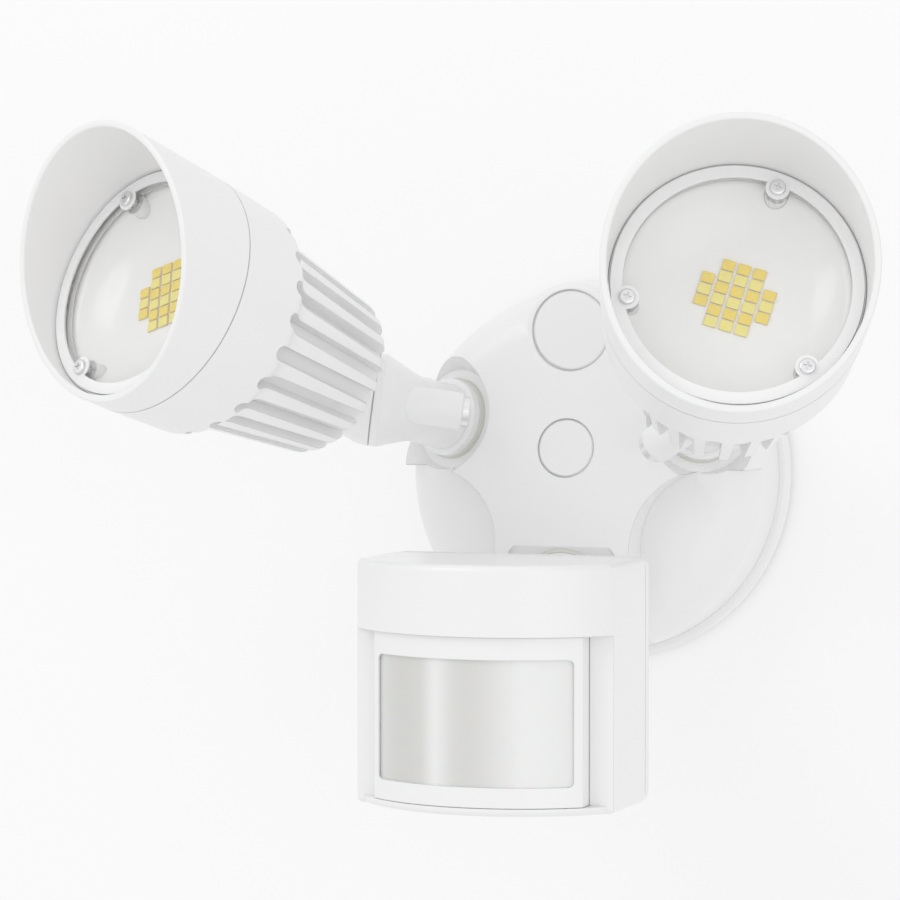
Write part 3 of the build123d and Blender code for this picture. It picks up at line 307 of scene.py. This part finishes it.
finishes = {
    "whitePaint": {
        "color": (0.905, 0.905, 0.908), "shade": (0.89, 0.89, 0.894), "cloud": 35, "rough": (0.38, 0.48),
        "grain": 1500, "skin": 0.10, "skinDepth": 0.05 * mm, "edge": 0.5 * mm, "coat": 0.15,
    },
    "whitePlastic": {
        "color": (0.90, 0.90, 0.903), "shade": (0.89, 0.89, 0.893), "cloud": 30, "rough": (0.26, 0.34),
        "grain": 1800, "skin": 0.05, "skinDepth": 0.04 * mm, "edge": 0.4 * mm, "coat": 0.2,
    },
    "sealRubber": {
        "color": (0.74, 0.74, 0.69), "shade": (0.71, 0.71, 0.655), "cloud": 60, "rough": (0.6, 0.75),
        "grain": 1600, "skin": 0.25, "skinDepth": 0.06 * mm, "edge": 0.25 * mm, "specular": 0.35,
    },
    "gasketPale": {
        "color": (0.80, 0.80, 0.78), "shade": (0.77, 0.77, 0.75), "cloud": 60, "rough": (0.5, 0.65),
        "grain": 1600, "skin": 0.2, "skinDepth": 0.05 * mm, "edge": 0.2 * mm, "specular": 0.35,
    },
    "foamBlack": {
        "color": (0.030, 0.030, 0.031), "shade": (0.018, 0.018, 0.019), "cloud": 80, "rough": (0.85, 0.95),
        "grain": 900, "skin": 0.8, "skinDepth": 0.15 * mm, "edge": 0.3 * mm, "specular": 0.2,
    },
    "reflectorWhite": {
        "color": (0.95, 0.95, 0.945), "shade": (0.94, 0.94, 0.93), "cloud": 25, "rough": (0.18, 0.24),
        "grain": 2000, "skin": 0.03, "skinDepth": 0.03 * mm, "edge": 0.2 * mm, "coat": 0.4,
    },
    "boardWhite": {
        "color": (0.87, 0.87, 0.85), "shade": (0.84, 0.84, 0.82), "cloud": 60, "rough": (0.3, 0.42),
        "grain": 1400, "skin": 0.05, "skinDepth": 0.03 * mm, "edge": 0.1 * mm,
    },
    "boardGreen": {
        "color": (0.015, 0.10, 0.035), "shade": (0.012, 0.08, 0.028), "cloud": 90, "rough": (0.25, 0.4),
        "grain": 1200, "skin": 0.12, "skinDepth": 0.05 * mm, "edge": 0.1 * mm, "coat": 0.3,
    },
    "darkPlastic": {
        "color": (0.028, 0.028, 0.030), "shade": (0.022, 0.022, 0.024), "cloud": 50, "rough": (0.45, 0.6),
        "grain": 1100, "skin": 0.25, "skinDepth": 0.06 * mm, "edge": 0.3 * mm,
    },
    "dialGrey": {
        "color": (0.075, 0.075, 0.078), "shade": (0.06, 0.06, 0.063), "cloud": 70, "rough": (0.35, 0.48),
        "grain": 1500, "skin": 0.12, "skinDepth": 0.04 * mm, "edge": 0.2 * mm,
    },
    "packageCream": {
        "color": (0.82, 0.72, 0.46), "shade": (0.74, 0.64, 0.42), "cloud": 120, "rough": (0.3, 0.4),
        "grain": 2500, "skin": 0.04, "skinDepth": 0.02 * mm, "edge": 0.1 * mm,
    },
    "phosphorDeep": {
        "color": (0.92, 0.66, 0.05), "shade": (0.93, 0.75, 0.10), "cloud": 260, "rough": (0.22, 0.32),
        "grain": 3000, "skin": 0.10, "skinDepth": 0.02 * mm, "edge": 0.1 * mm, "coat": 0.4,
    },
    "phosphorPale": {
        "color": (0.93, 0.84, 0.24), "shade": (0.93, 0.79, 0.15), "cloud": 260, "rough": (0.22, 0.32),
        "grain": 3000, "skin": 0.10, "skinDepth": 0.02 * mm, "edge": 0.1 * mm, "coat": 0.4,
    },
}


zincSteel = {
    "stretch": (1.0, 1.0, 14.0), "streakScale": 260, "dark": (0.72, 0.72, 0.73), "light": (0.84, 0.84, 0.85),
    "rough": (0.24, 0.42), "edge": 0.15 * mm,
}


def brushedSteel():
    # bright zinc, streaked by drawing and rolling
    material, nodes, links = newMaterial("zincSteel")
    shader = nodes["Principled BSDF"]
    shader.inputs["Metallic"].default_value = 1.0
    coordinate = nodes.new("ShaderNodeTexCoord").outputs["Object"]
    stretch = nodes.new("ShaderNodeMapping")
    stretch.inputs["Scale"].default_value = zincSteel["stretch"]
    links.new(coordinate, stretch.inputs["Vector"])
    streak = addNoise(nodes, links, stretch.outputs["Vector"], zincSteel["streakScale"])
    mixTone(nodes, links, shader, streak, zincSteel["dark"], zincSteel["light"])
    varyRoughness(nodes, links, shader, streak, zincSteel["rough"])
    links.new(softEdge(nodes, zincSteel["edge"]), shader.inputs["Normal"])
    return material


clearCover = {
    "color": (0.94, 0.94, 0.94, 1), "specular": 0.7, "coat": 0.4, "coatRough": 0.04,
    "alpha": 0.07, "rimAlpha": 0.93, "rough": (0.042, 0.096), "roughScale": 40,
    "rippleScale": 90, "ripple": 0.03, "rippleDepth": 0.2 * mm,
    "rimRadius": 31.75 * mm, "face": 100.4 * mm, "edge": 0.12 * mm,
}


def stepUp(nodes, links, value, at):
    # 0 below a measure and 1 above it, over a soft edge
    ramp = nodes.new("ShaderNodeMapRange")
    ramp.interpolation_type = "SMOOTHSTEP"
    ramp.inputs["From Min"].default_value = at - clearCover["edge"]
    ramp.inputs["From Max"].default_value = at + clearCover["edge"]
    links.new(value, ramp.inputs["Value"])
    return ramp.outputs["Result"]


def clearPlastic(name, place):
    # clear in the middle, and frosted at the raised rim and screw tabs,
    # which are found in the head's own frame
    material, nodes, links = newMaterial(name)
    shader = nodes["Principled BSDF"]
    shader.inputs["Base Color"].default_value = clearCover["color"]
    shader.inputs["Specular IOR Level"].default_value = clearCover["specular"]
    shader.inputs["Coat Weight"].default_value = clearCover["coat"]
    shader.inputs["Coat Roughness"].default_value = clearCover["coatRough"]
    coordinate = nodes.new("ShaderNodeTexCoord").outputs["Object"]
    inverse = place.inverted()
    own = nodes.new("ShaderNodeMapping")
    own.inputs["Location"].default_value = inverse.to_translation()
    own.inputs["Rotation"].default_value = inverse.to_euler()
    links.new(coordinate, own.inputs["Vector"])
    flat = nodes.new("ShaderNodeVectorMath")
    flat.operation = "MULTIPLY"
    flat.inputs[1].default_value = (1, 1, 0)
    links.new(own.outputs["Vector"], flat.inputs[0])
    radius = nodes.new("ShaderNodeVectorMath")
    radius.operation = "LENGTH"
    links.new(flat.outputs["Vector"], radius.inputs[0])
    height = nodes.new("ShaderNodeSeparateXYZ")
    links.new(own.outputs["Vector"], height.inputs[0])
    rim = nodes.new("ShaderNodeMath")
    rim.operation = "MAXIMUM"
    links.new(stepUp(nodes, links, radius.outputs["Value"], clearCover["rimRadius"]), rim.inputs[0])
    raised = clearCover["face"] + 2 * clearCover["edge"]
    links.new(stepUp(nodes, links, height.outputs["Z"], raised), rim.inputs[1])
    alpha = nodes.new("ShaderNodeMapRange")
    alpha.inputs["To Min"].default_value = clearCover["alpha"]
    alpha.inputs["To Max"].default_value = clearCover["rimAlpha"]
    links.new(rim.outputs[0], alpha.inputs["Value"])
    links.new(alpha.outputs["Result"], shader.inputs["Alpha"])
    cloud = addNoise(nodes, links, coordinate, clearCover["roughScale"])
    varyRoughness(nodes, links, shader, cloud, clearCover["rough"])
    ripple = addNoise(nodes, links, coordinate, clearCover["rippleScale"])
    addSkin(nodes, links, shader, ripple, clearCover["ripple"], clearCover["rippleDepth"])
    return material


milkyWindow = {
    # light is the window's own tone; dark is the painted shade that the strips lay over it
    "light": (0.88, 0.88, 0.88), "dark": (0.66, 0.66, 0.64), "rough": (0.28, 0.38), "roughScale": 60,
    "glow": 0.2, "glowDepth": 1.0 * mm, "grain": 900, "grainDetail": 2.0, "skin": 0.1, "skinDepth": 0.03 * mm,
    "from": -31.5 * mm, "to": 31.5 * mm,
    # how much painted shade darkens the window, from its left edge (0) to its right edge (1)
    "paintedShadeBands": (
        (0.0, 0.35), (0.10, 1.0), (0.27, 1.0), (0.33, 0.1), (0.37, 0.1),
        (0.45, 0.9), (0.58, 0.8), (0.72, 0.1), (0.80, 0.0), (1.0, 0.25),
    ),
}


def milkyPlastic():
    # a milky moulding whose smooth skin is crossed by soft upright strips of painted shade, with painted
    # highlight strips between them
    material, nodes, links = newMaterial("milkyWindow")
    shader = nodes["Principled BSDF"]
    coordinate = nodes.new("ShaderNodeTexCoord").outputs["Object"]
    split = nodes.new("ShaderNodeSeparateXYZ")
    links.new(coordinate, split.inputs[0])
    across = nodes.new("ShaderNodeMapRange")
    across.inputs["From Min"].default_value = milkyWindow["from"]
    across.inputs["From Max"].default_value = milkyWindow["to"]
    links.new(split.outputs["X"], across.inputs["Value"])
    # painted shade and painted highlight: a ramp of given stops across the window
    paintedShadeBands = nodes.new("ShaderNodeValToRGB")
    paintedShadeBands.color_ramp.interpolation = "B_SPLINE"
    stops = paintedShadeBands.color_ramp.elements
    while len(stops) < len(milkyWindow["paintedShadeBands"]):
        stops.new(0.5)
    for stop, (place, level) in zip(stops, milkyWindow["paintedShadeBands"]):
        stop.position = place
        stop.color = (level, level, level, 1)
    links.new(across.outputs["Result"], paintedShadeBands.inputs["Fac"])
    mixTone(nodes, links, shader, paintedShadeBands.outputs["Color"], milkyWindow["light"], milkyWindow["dark"])
    cloud = addNoise(nodes, links, coordinate, milkyWindow["roughScale"])
    varyRoughness(nodes, links, shader, cloud, milkyWindow["rough"])
    grain = addNoise(nodes, links, coordinate, milkyWindow["grain"], milkyWindow["grainDetail"])
    addSkin(nodes, links, shader, grain, milkyWindow["skin"], milkyWindow["skinDepth"])
    shader.inputs["Subsurface Weight"].default_value = milkyWindow["glow"]
    shader.inputs["Subsurface Scale"].default_value = milkyWindow["glowDepth"]
    return material


def paperMaterial():
    # the wall and floor: a diffuse paper that takes the object's shadow, lifted towards white for the eye
    material, nodes, links = newMaterial("studioPaper")
    nodes.remove(nodes["Principled BSDF"])
    matte = nodes.new("ShaderNodeBsdfDiffuse")
    matte.inputs["Color"].default_value = backdrop["color"]
    white = nodes.new("ShaderNodeEmission")
    share = nodes.new("ShaderNodeMath")
    share.operation = "MULTIPLY"
    share.inputs[1].default_value = backdrop["paper"]
    links.new(seenRay(nodes, links), share.inputs[0])
    mix = nodes.new("ShaderNodeMixShader")
    links.new(share.outputs[0], mix.inputs[0])
    links.new(matte.outputs[0], mix.inputs[1])
    links.new(white.outputs[0], mix.inputs[2])
    # from its back the sheet is clear, so the object can be looked at from behind and from below
    oneSided = nodes.new("ShaderNodeMixShader")
    links.new(nodes.new("ShaderNodeNewGeometry").outputs["Backfacing"], oneSided.inputs[0])
    links.new(mix.outputs[0], oneSided.inputs[1])
    links.new(nodes.new("ShaderNodeBsdfTransparent").outputs[0], oneSided.inputs[2])
    links.new(oneSided.outputs[0], nodes["Material Output"].inputs["Surface"])
    return material


def addBackdrop():
    # one sheet, a wall that runs down and out into the floor over a round sweep
    deselectAll()
    bpy.ops.mesh.primitive_plane_add(size=1, location=(0, backdrop["gap"], 0), rotation=(math.pi / 2, 0, 0))
    wall = bpy.context.object
    wall.name = "studioSweep"
    wall.scale = (backdrop["width"], 1, 1)
    bpy.ops.object.transform_apply(location=True, rotation=True, scale=True)
    low = -backdrop["floorDrop"]
    for vertex in wall.data.vertices:
        vertex.co.x = math.copysign(backdrop["width"] / 2, vertex.co.x)
        vertex.co.z = backdrop["height"] if vertex.co.z > 0 else low + backdrop["sweepRadius"]
    bpy.ops.object.mode_set(mode="EDIT")
    selectWhere(wall, "edges", lambda edge: all(vertex.co.z < 0 for vertex in edge.verts))
    radius = backdrop["sweepRadius"]
    turn = math.pi / 2 / backdrop["sweepSteps"]
    for step in range(backdrop["sweepSteps"]):
        a, b = step * turn, (step + 1) * turn
        move = (0, radius * (math.cos(b) - math.cos(a)), radius * (math.sin(a) - math.sin(b)))
        bpy.ops.mesh.extrude_region_move(TRANSFORM_OT_translate={"value": move})
    bpy.ops.mesh.extrude_region_move(TRANSFORM_OT_translate={"value": (0, -backdrop["floorDepth"], 0)})
    bpy.ops.mesh.select_all(action="SELECT")
    bpy.ops.mesh.normals_make_consistent(inside=False)
    sheet = bmesh.from_edit_mesh(wall.data)
    sheet.faces.ensure_lookup_table()
    if sheet.faces[0].normal.y > 0:
        # the front of the sheet looks at the object
        bpy.ops.mesh.flip_normals()
    bpy.ops.object.mode_set(mode="OBJECT")
    smooth(wall, softCorner)
    wall.data.materials.append(paperMaterial())
    # the sheet is only looked at: it neither blocks the room's light nor throws any on the object
    wall.visible_diffuse = False
    wall.visible_glossy = False
    wall.visible_shadow = False
    print("wall and floor set")


# in degrees: how each head is turned and lifted at rest, where its first screw tab is,
# and how its columns of chips lean
lampHead = {
    "left": {"turn": -26.0, "lift": 21.3, "tab": 2.0, "columnLean": -18.0},
    "right": {"turn": 20.0, "lift": 21.0, "tab": 67.5, "columnLean": 18.0},
}


def headPlace(side, joints):
    # the head's own frame: origin at its pivot, z forward, y up
    pivot = Vector(next(j["pos_m"] for j in joints if j["name"] == side + "_tilt"))
    forward = vectorTowards(lampHead[side]["turn"], lampHead[side]["lift"])
    across = Vector((0, 0, 1)).cross(forward).normalized()
    up = forward.cross(across)
    return Matrix.Translation(pivot) @ Matrix((across, up, forward)).transposed().to_4x4()


chipWindow = {
    "width": 3.6 * mm, "height": 3.04 * mm, "thick": 0.22 * mm, "rounding": 0.5 * mm, "crown": 0.10 * mm,
    "roundSteps": 3, "inset": 0.45 * mm, "face": 89.8 * mm, "columnPitch": 4.5 * mm, "rowPitch": 3.5 * mm,
    "columns": (3, 6, 6, 6, 3),
}


def makeChipWindow():
    # a thin block with rounded corners and a slightly raised middle
    size = (chipWindow["width"], chipWindow["height"], chipWindow["thick"])
    window = makeBlock(size, (0, 0, chipWindow["thick"] / 2))
    bpy.ops.object.mode_set(mode="EDIT")
    upright = chipWindow["thick"] / 2
    selectWhere(window, "edges", lambda edge: abs(edge.verts[0].co.z - edge.verts[1].co.z) > upright)
    bpy.ops.mesh.bevel(offset=chipWindow["rounding"], segments=chipWindow["roundSteps"], affect="EDGES")
    selectWhere(window, "faces", lambda face: face.normal.z > levelFace)
    bpy.ops.mesh.inset(thickness=chipWindow["inset"], depth=chipWindow["crown"])
    bpy.ops.object.mode_set(mode="OBJECT")
    return window


def addChipWindows(side, place, deep, pale):
    # rows of deeper and paler yellow take turns, as the light catches them
    window = makeChipWindow()
    lean = Matrix.Rotation(math.radians(-lampHead[side]["columnLean"]), 4, "Z")
    longest = max(chipWindow["columns"])
    copies = []
    for column, count in enumerate(chipWindow["columns"]):
        across = (column - (len(chipWindow["columns"]) - 1) / 2) * chipWindow["columnPitch"]
        for row in range(count):
            along = (row - (count - 1) / 2) * chipWindow["rowPitch"]
            spot = Matrix.Translation((across, along, chipWindow["face"]))
            chip = copyOf(window, place @ lean @ spot)
            chip.data.materials.append(pale if (row + (longest - count) // 2) % 2 == 0 else deep)
            copies.append(chip)
    bpy.data.objects.remove(window)
    patch = joinAll(copies, side + "ChipWindows")
    smooth(patch, softCorner)
    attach(patch, side + "_head")


screwHead = {"sides": 40, "domeShare": 0.5, "domeSteps": 5}

panScrew = {
    "lens": {"head": 2.3 * mm, "thick": 1.2 * mm, "shank": 1.4 * mm, "length": 9.0 * mm, "cross": 2.2 * mm,
             "crossWidth": 0.45 * mm, "crossDepth": 0.5 * mm},
    "cover": {"head": 2.9 * mm, "thick": 2.0 * mm, "shank": 1.5 * mm, "length": 15.0 * mm, "cross": 3.0 * mm,
              "crossWidth": 0.65 * mm, "crossDepth": 1.0 * mm},
}


def makePanScrew(size):
    # a round head with a domed edge, a cross recess cut into it, and its shank below
    deselectAll()
    bpy.ops.mesh.primitive_cylinder_add(vertices=screwHead["sides"], radius=size["head"], depth=size["thick"],
                                        location=(0, 0, size["thick"] / 2))
    screw = bpy.context.object
    bpy.ops.object.transform_apply(location=True, rotation=True, scale=True)
    bpy.ops.object.mode_set(mode="EDIT")
    selectWhere(screw, "faces", lambda face: face.normal.z > levelFace)
    dome = size["thick"] * screwHead["domeShare"]
    bpy.ops.mesh.bevel(offset=dome, segments=screwHead["domeSteps"], affect="EDGES")
    selectWhere(screw, "faces", lambda face: face.normal.z < -levelFace)
    bpy.ops.mesh.inset(thickness=size["head"] - size["shank"], depth=0)
    bpy.ops.mesh.extrude_region_move(TRANSFORM_OT_translate={"value": (0, 0, -size["length"])})
    bpy.ops.object.mode_set(mode="OBJECT")
    for turn in (0, math.pi / 2):
        arm = (size["cross"], size["crossWidth"], size["crossDepth"] * 2)
        cutter = makeBlock(arm, (0, 0, size["thick"]), turn)
        addModifier(screw, "BOOLEAN", object=cutter, operation="DIFFERENCE", solver="EXACT")
        bpy.data.objects.remove(cutter)
    return screw


lensScrews = {
    "circle": 30.8 * mm, "count": 3, "seat": 101.0 * mm,
    "spin": 2.3,  # times its angle round the cover, so that each cross stops at its own turn
}


def screwSpots(side):
    # the angle of each screw round the clear cover, and its place across the head
    for index in range(lensScrews["count"]):
        angle = math.radians(lampHead[side]["tab"] + index * 360 / lensScrews["count"])
        yield angle, lensScrews["circle"] * math.cos(angle), lensScrews["circle"] * math.sin(angle)


def addLensScrews(side, place, material):
    screw = makePanScrew(panScrew["lens"])
    copies = []
    for angle, x, y in screwSpots(side):
        spot = Matrix.Translation((x, y, lensScrews["seat"]))
        copies.append(copyOf(screw, place @ spot @ Matrix.Rotation(angle * lensScrews["spin"], 4, "Z")))
    bpy.data.objects.remove(screw)
    screws = joinAll(copies, side + "CoverScrews")
    smooth(screws, crispCorner)
    dress(screws, material, side + "_head")
    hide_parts(side + "_lens_screws")


lampBowl = {
    "sides": 96, "flange": 33.3 * mm, "rim": 31.4 * mm, "rimHeight": 96.6 * mm, "floor": 12.8 * mm,
    "floorHeight": 89.35 * mm, "steps": 14, "curve": 2.2, "wall": 0.3 * mm, "postHole": 3.46 * mm,
    "postSides": 48, "postCut": 20 * mm,
}


def addLampBowl(side, place, material):
    # the white bowl round the chips: its smooth floor runs up to them and hides the board's edge
    deselectAll()
    bpy.ops.mesh.primitive_circle_add(vertices=lampBowl["sides"], radius=lampBowl["flange"], fill_type="NGON",
                                      location=(0, 0, lampBowl["rimHeight"]))
    bowl = bpy.context.object
    bpy.ops.object.transform_apply(location=True, rotation=True, scale=True)
    bpy.ops.object.mode_set(mode="EDIT")
    bpy.context.tool_settings.mesh_select_mode = (False, False, True)
    bpy.ops.mesh.select_all(action="SELECT")
    bpy.ops.mesh.inset(thickness=lampBowl["flange"] - lampBowl["rim"], depth=0)
    width = (lampBowl["rim"] - lampBowl["floor"]) / lampBowl["steps"]
    height = lampBowl["rimHeight"] - lampBowl["floorHeight"]
    for step in range(lampBowl["steps"], 0, -1):
        outside = (step / lampBowl["steps"]) ** lampBowl["curve"]
        inside = ((step - 1) / lampBowl["steps"]) ** lampBowl["curve"]
        bpy.ops.mesh.inset(thickness=width, depth=-height * (outside - inside))
    bpy.ops.object.mode_set(mode="OBJECT")
    addModifier(bowl, "SOLIDIFY", thickness=lampBowl["wall"], offset=-1)
    for _, x, y in screwSpots(side):
        deselectAll()
        bpy.ops.mesh.primitive_cylinder_add(vertices=lampBowl["postSides"], radius=lampBowl["postHole"],
                                            depth=lampBowl["postCut"], location=(x, y, lampBowl["rimHeight"]))
        cutter = bpy.context.object
        addModifier(bowl, "BOOLEAN", object=cutter, operation="DIFFERENCE", solver="EXACT")
        bpy.data.objects.remove(cutter)
    bowl.name = side + "LampBowl"
    settle(bowl, place)
    smooth(bowl, softCorner)
    dress(bowl, material, side + "_head")
    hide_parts(side + "_reflector")


ringForm = {"sides": 96, "softSteps": 2, "softAngle": 50}


def makeRing(name, size):
    # a flat ring from a disc: both faces are inset, opened and bridged, and its corners softened
    deselectAll()
    bpy.ops.mesh.primitive_cylinder_add(vertices=ringForm["sides"], radius=size["outer"],
                                        depth=size["high"] - size["low"],
                                        location=(0, 0, (size["low"] + size["high"]) / 2))
    ring = bpy.context.object
    ring.name = name
    bpy.ops.object.transform_apply(location=True, rotation=True, scale=True)
    bpy.ops.object.mode_set(mode="EDIT")
    selectWhere(ring, "faces", lambda face: abs(face.normal.z) > levelFace)
    bpy.ops.mesh.inset(thickness=size["outer"] - size["inner"], depth=0)
    bpy.ops.mesh.delete(type="FACE")
    bpy.context.tool_settings.mesh_select_mode = (False, True, False)
    bpy.ops.mesh.select_all(action="DESELECT")
    bpy.ops.mesh.select_non_manifold()
    bpy.ops.mesh.bridge_edge_loops()
    bpy.ops.mesh.select_all(action="SELECT")
    bpy.ops.mesh.normals_make_consistent(inside=False)
    bpy.ops.object.mode_set(mode="OBJECT")
    addModifier(ring, "BEVEL", width=size["soften"], segments=ringForm["softSteps"], limit_method="ANGLE",
                angle_limit=math.radians(ringForm["softAngle"]))
    return ring


def addRing(name, size, place, material, body):
    ring = makeRing(name, size)
    settle(ring, place)
    smooth(ring, softCorner)
    dress(ring, material, body)


# pale rings that paint light into shaded gaps: at the arm seam, the cover's rim, the cap and the plug
fillRings = {
    "coverLip": {
        "outer": 35.72 * mm, "inner": 35.3 * mm,
        "low": 98.2 * mm, "high": 100.5 * mm, "soften": 0.18 * mm,
    },
    "seamWasher": {
        "outer": 14.15 * mm, "inner": 3.4 * mm,
        "low": -0.11 * mm, "high": 0.11 * mm, "soften": 0.04 * mm,
    },
    "capSeal": {
        "outer": 9.06 * mm, "inner": 8.86 * mm,
        "low": -1.4 * mm, "high": -0.4 * mm, "soften": 0.04 * mm,
    },
    "plugSeal": {
        "outer": 12.64 * mm, "inner": 12.36 * mm,
        "low": -2.2 * mm, "high": -0.5 * mm, "soften": 0.05 * mm,
    },
}


def placeAlong(origin, axis):
    # a frame at a point, its z along an axis
    return Matrix.Translation(Vector(origin)) @ Vector(axis).to_track_quat("Z", "Y").to_matrix().to_4x4()


# where the snap cap and the plug meet the canopy, and which way each looks
canopyFace = {
    "capCentre": (0.0, -45.765 * mm, 8.9 * mm), "capAxis": (0.0, -0.990509, 0.137445),
    "plugCentre": (0.0, -41.0 * mm, 45.3 * mm), "plugAxis": (0.0, -1.0, 0.0),
}


def addFillRings(frame, materials):
    # pale rings set into the gaps as painted light: they lift the shade in each gap, so it shows as a thin
    # grey line
    joints = {joint["name"]: joint for joint in frame["joints"]}
    for side in ("left", "right"):
        tilt = joints[side + "_tilt"]
        addRing(side + "SeamWasher", fillRings["seamWasher"], placeAlong(tilt["pos_m"], tilt["axis"]),
                materials["gasketPale"], side + "_arm")
        lightRingPlace = headPlace(side, frame["joints"])
        addRing(side + "CoverLip", fillRings["coverLip"], lightRingPlace, materials["gasketPale"], side + "_head")
    addRing("capSeal", fillRings["capSeal"], placeAlong(canopyFace["capCentre"], canopyFace["capAxis"]),
            materials["gasketPale"], "canopy")
    addRing("plugSeal", fillRings["plugSeal"], placeAlong(canopyFace["plugCentre"], canopyFace["plugAxis"]),
            materials["gasketPale"], "canopy")
    print("lightRings finished")


def addHeadPieces(frame, materials):
    for side in ("left", "right"):
        place = headPlace(side, frame["joints"])
        addLampBowl(side, place, materials["reflectorWhite"])
        cover = frame["nodes"][side + "_front_lens"]
        for slot in cover.material_slots:
            slot.material = clearPlastic(side + "ClearCover", place)
        addChipWindows(side, place, materials["phosphorDeep"], materials["phosphorPale"])
        addLensScrews(side, place, materials["steel"])
    print("lamp heads finished")


coverScrews = {
    "seat": 86.4 * mm,
    "spin": (40, 25),  # radians for each metre across and up, so that each cross stops at its own turn
}


def addSensorScrews(material):
    low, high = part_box("sensor_screws")
    reach = panScrew["cover"]["head"]
    screw = makePanScrew(panScrew["cover"])
    copies = []
    for x in (low.x + reach, high.x - reach):
        for z in (low.z + reach, high.z - reach):
            # the heads look back, towards the wall
            place = Matrix.Translation((x, -coverScrews["seat"], z)) @ Matrix.Rotation(-math.pi / 2, 4, "X")
            turn = x * coverScrews["spin"][0] + z * coverScrews["spin"][1]
            copies.append(copyOf(screw, place @ Matrix.Rotation(turn, 4, "Z")))
    bpy.data.objects.remove(screw)
    screws = joinAll(copies, "rearCoverScrews")
    smooth(screws, crispCorner)
    dress(screws, material, "sensor")
    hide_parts("sensor_screws")


def addSensorPieces(materials):
    addSensorScrews(materials["steel"])
    print("sensor finished")


# the finish of each slot in the record; the clear covers get theirs with their heads
nodeFinish = {
    "white_paint": "whitePaint", "white_plastic": "whitePlastic", "dark_plastic": "darkPlastic",
    "seal": "sealRubber", "pale_gasket": "gasketPale", "foam": "foamBlack", "steel": "steel",
    "reflector_white": "reflectorWhite", "clear_lens": "reflectorWhite", "milky_window": "milky",
    "board_white": "boardWhite", "board_green": "boardGreen", "led_yellow": "packageCream",
    "dial_plastic": "dialGrey",
}


def makeMaterials():
    materials = {name: moulded(name, look) for name, look in finishes.items()}
    materials["steel"] = brushedSteel()
    materials["milky"] = milkyPlastic()
    print(len(materials), "materials made")
    return materials


def dressNodes(frame, materials):
    slots = {part["node"]: part["material_slot"] for part in frame["record"]["subparts"]}
    for name, node in frame["nodes"].items():
        material = materials[nodeFinish[slots[name]]]
        if not node.material_slots:
            node.data.materials.append(material)
        for slot in node.material_slots:
            slot.material = material
    print(len(frame["nodes"]), "CAD pieces dressed")


def main():
    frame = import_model()
    addCamera(photoCamera)
    addStudio()
    addBackdrop()
    materials = makeMaterials()
    dressNodes(frame, materials)
    addHeadPieces(frame, materials)
    addFillRings(frame, materials)
    addSensorPieces(materials)


main()
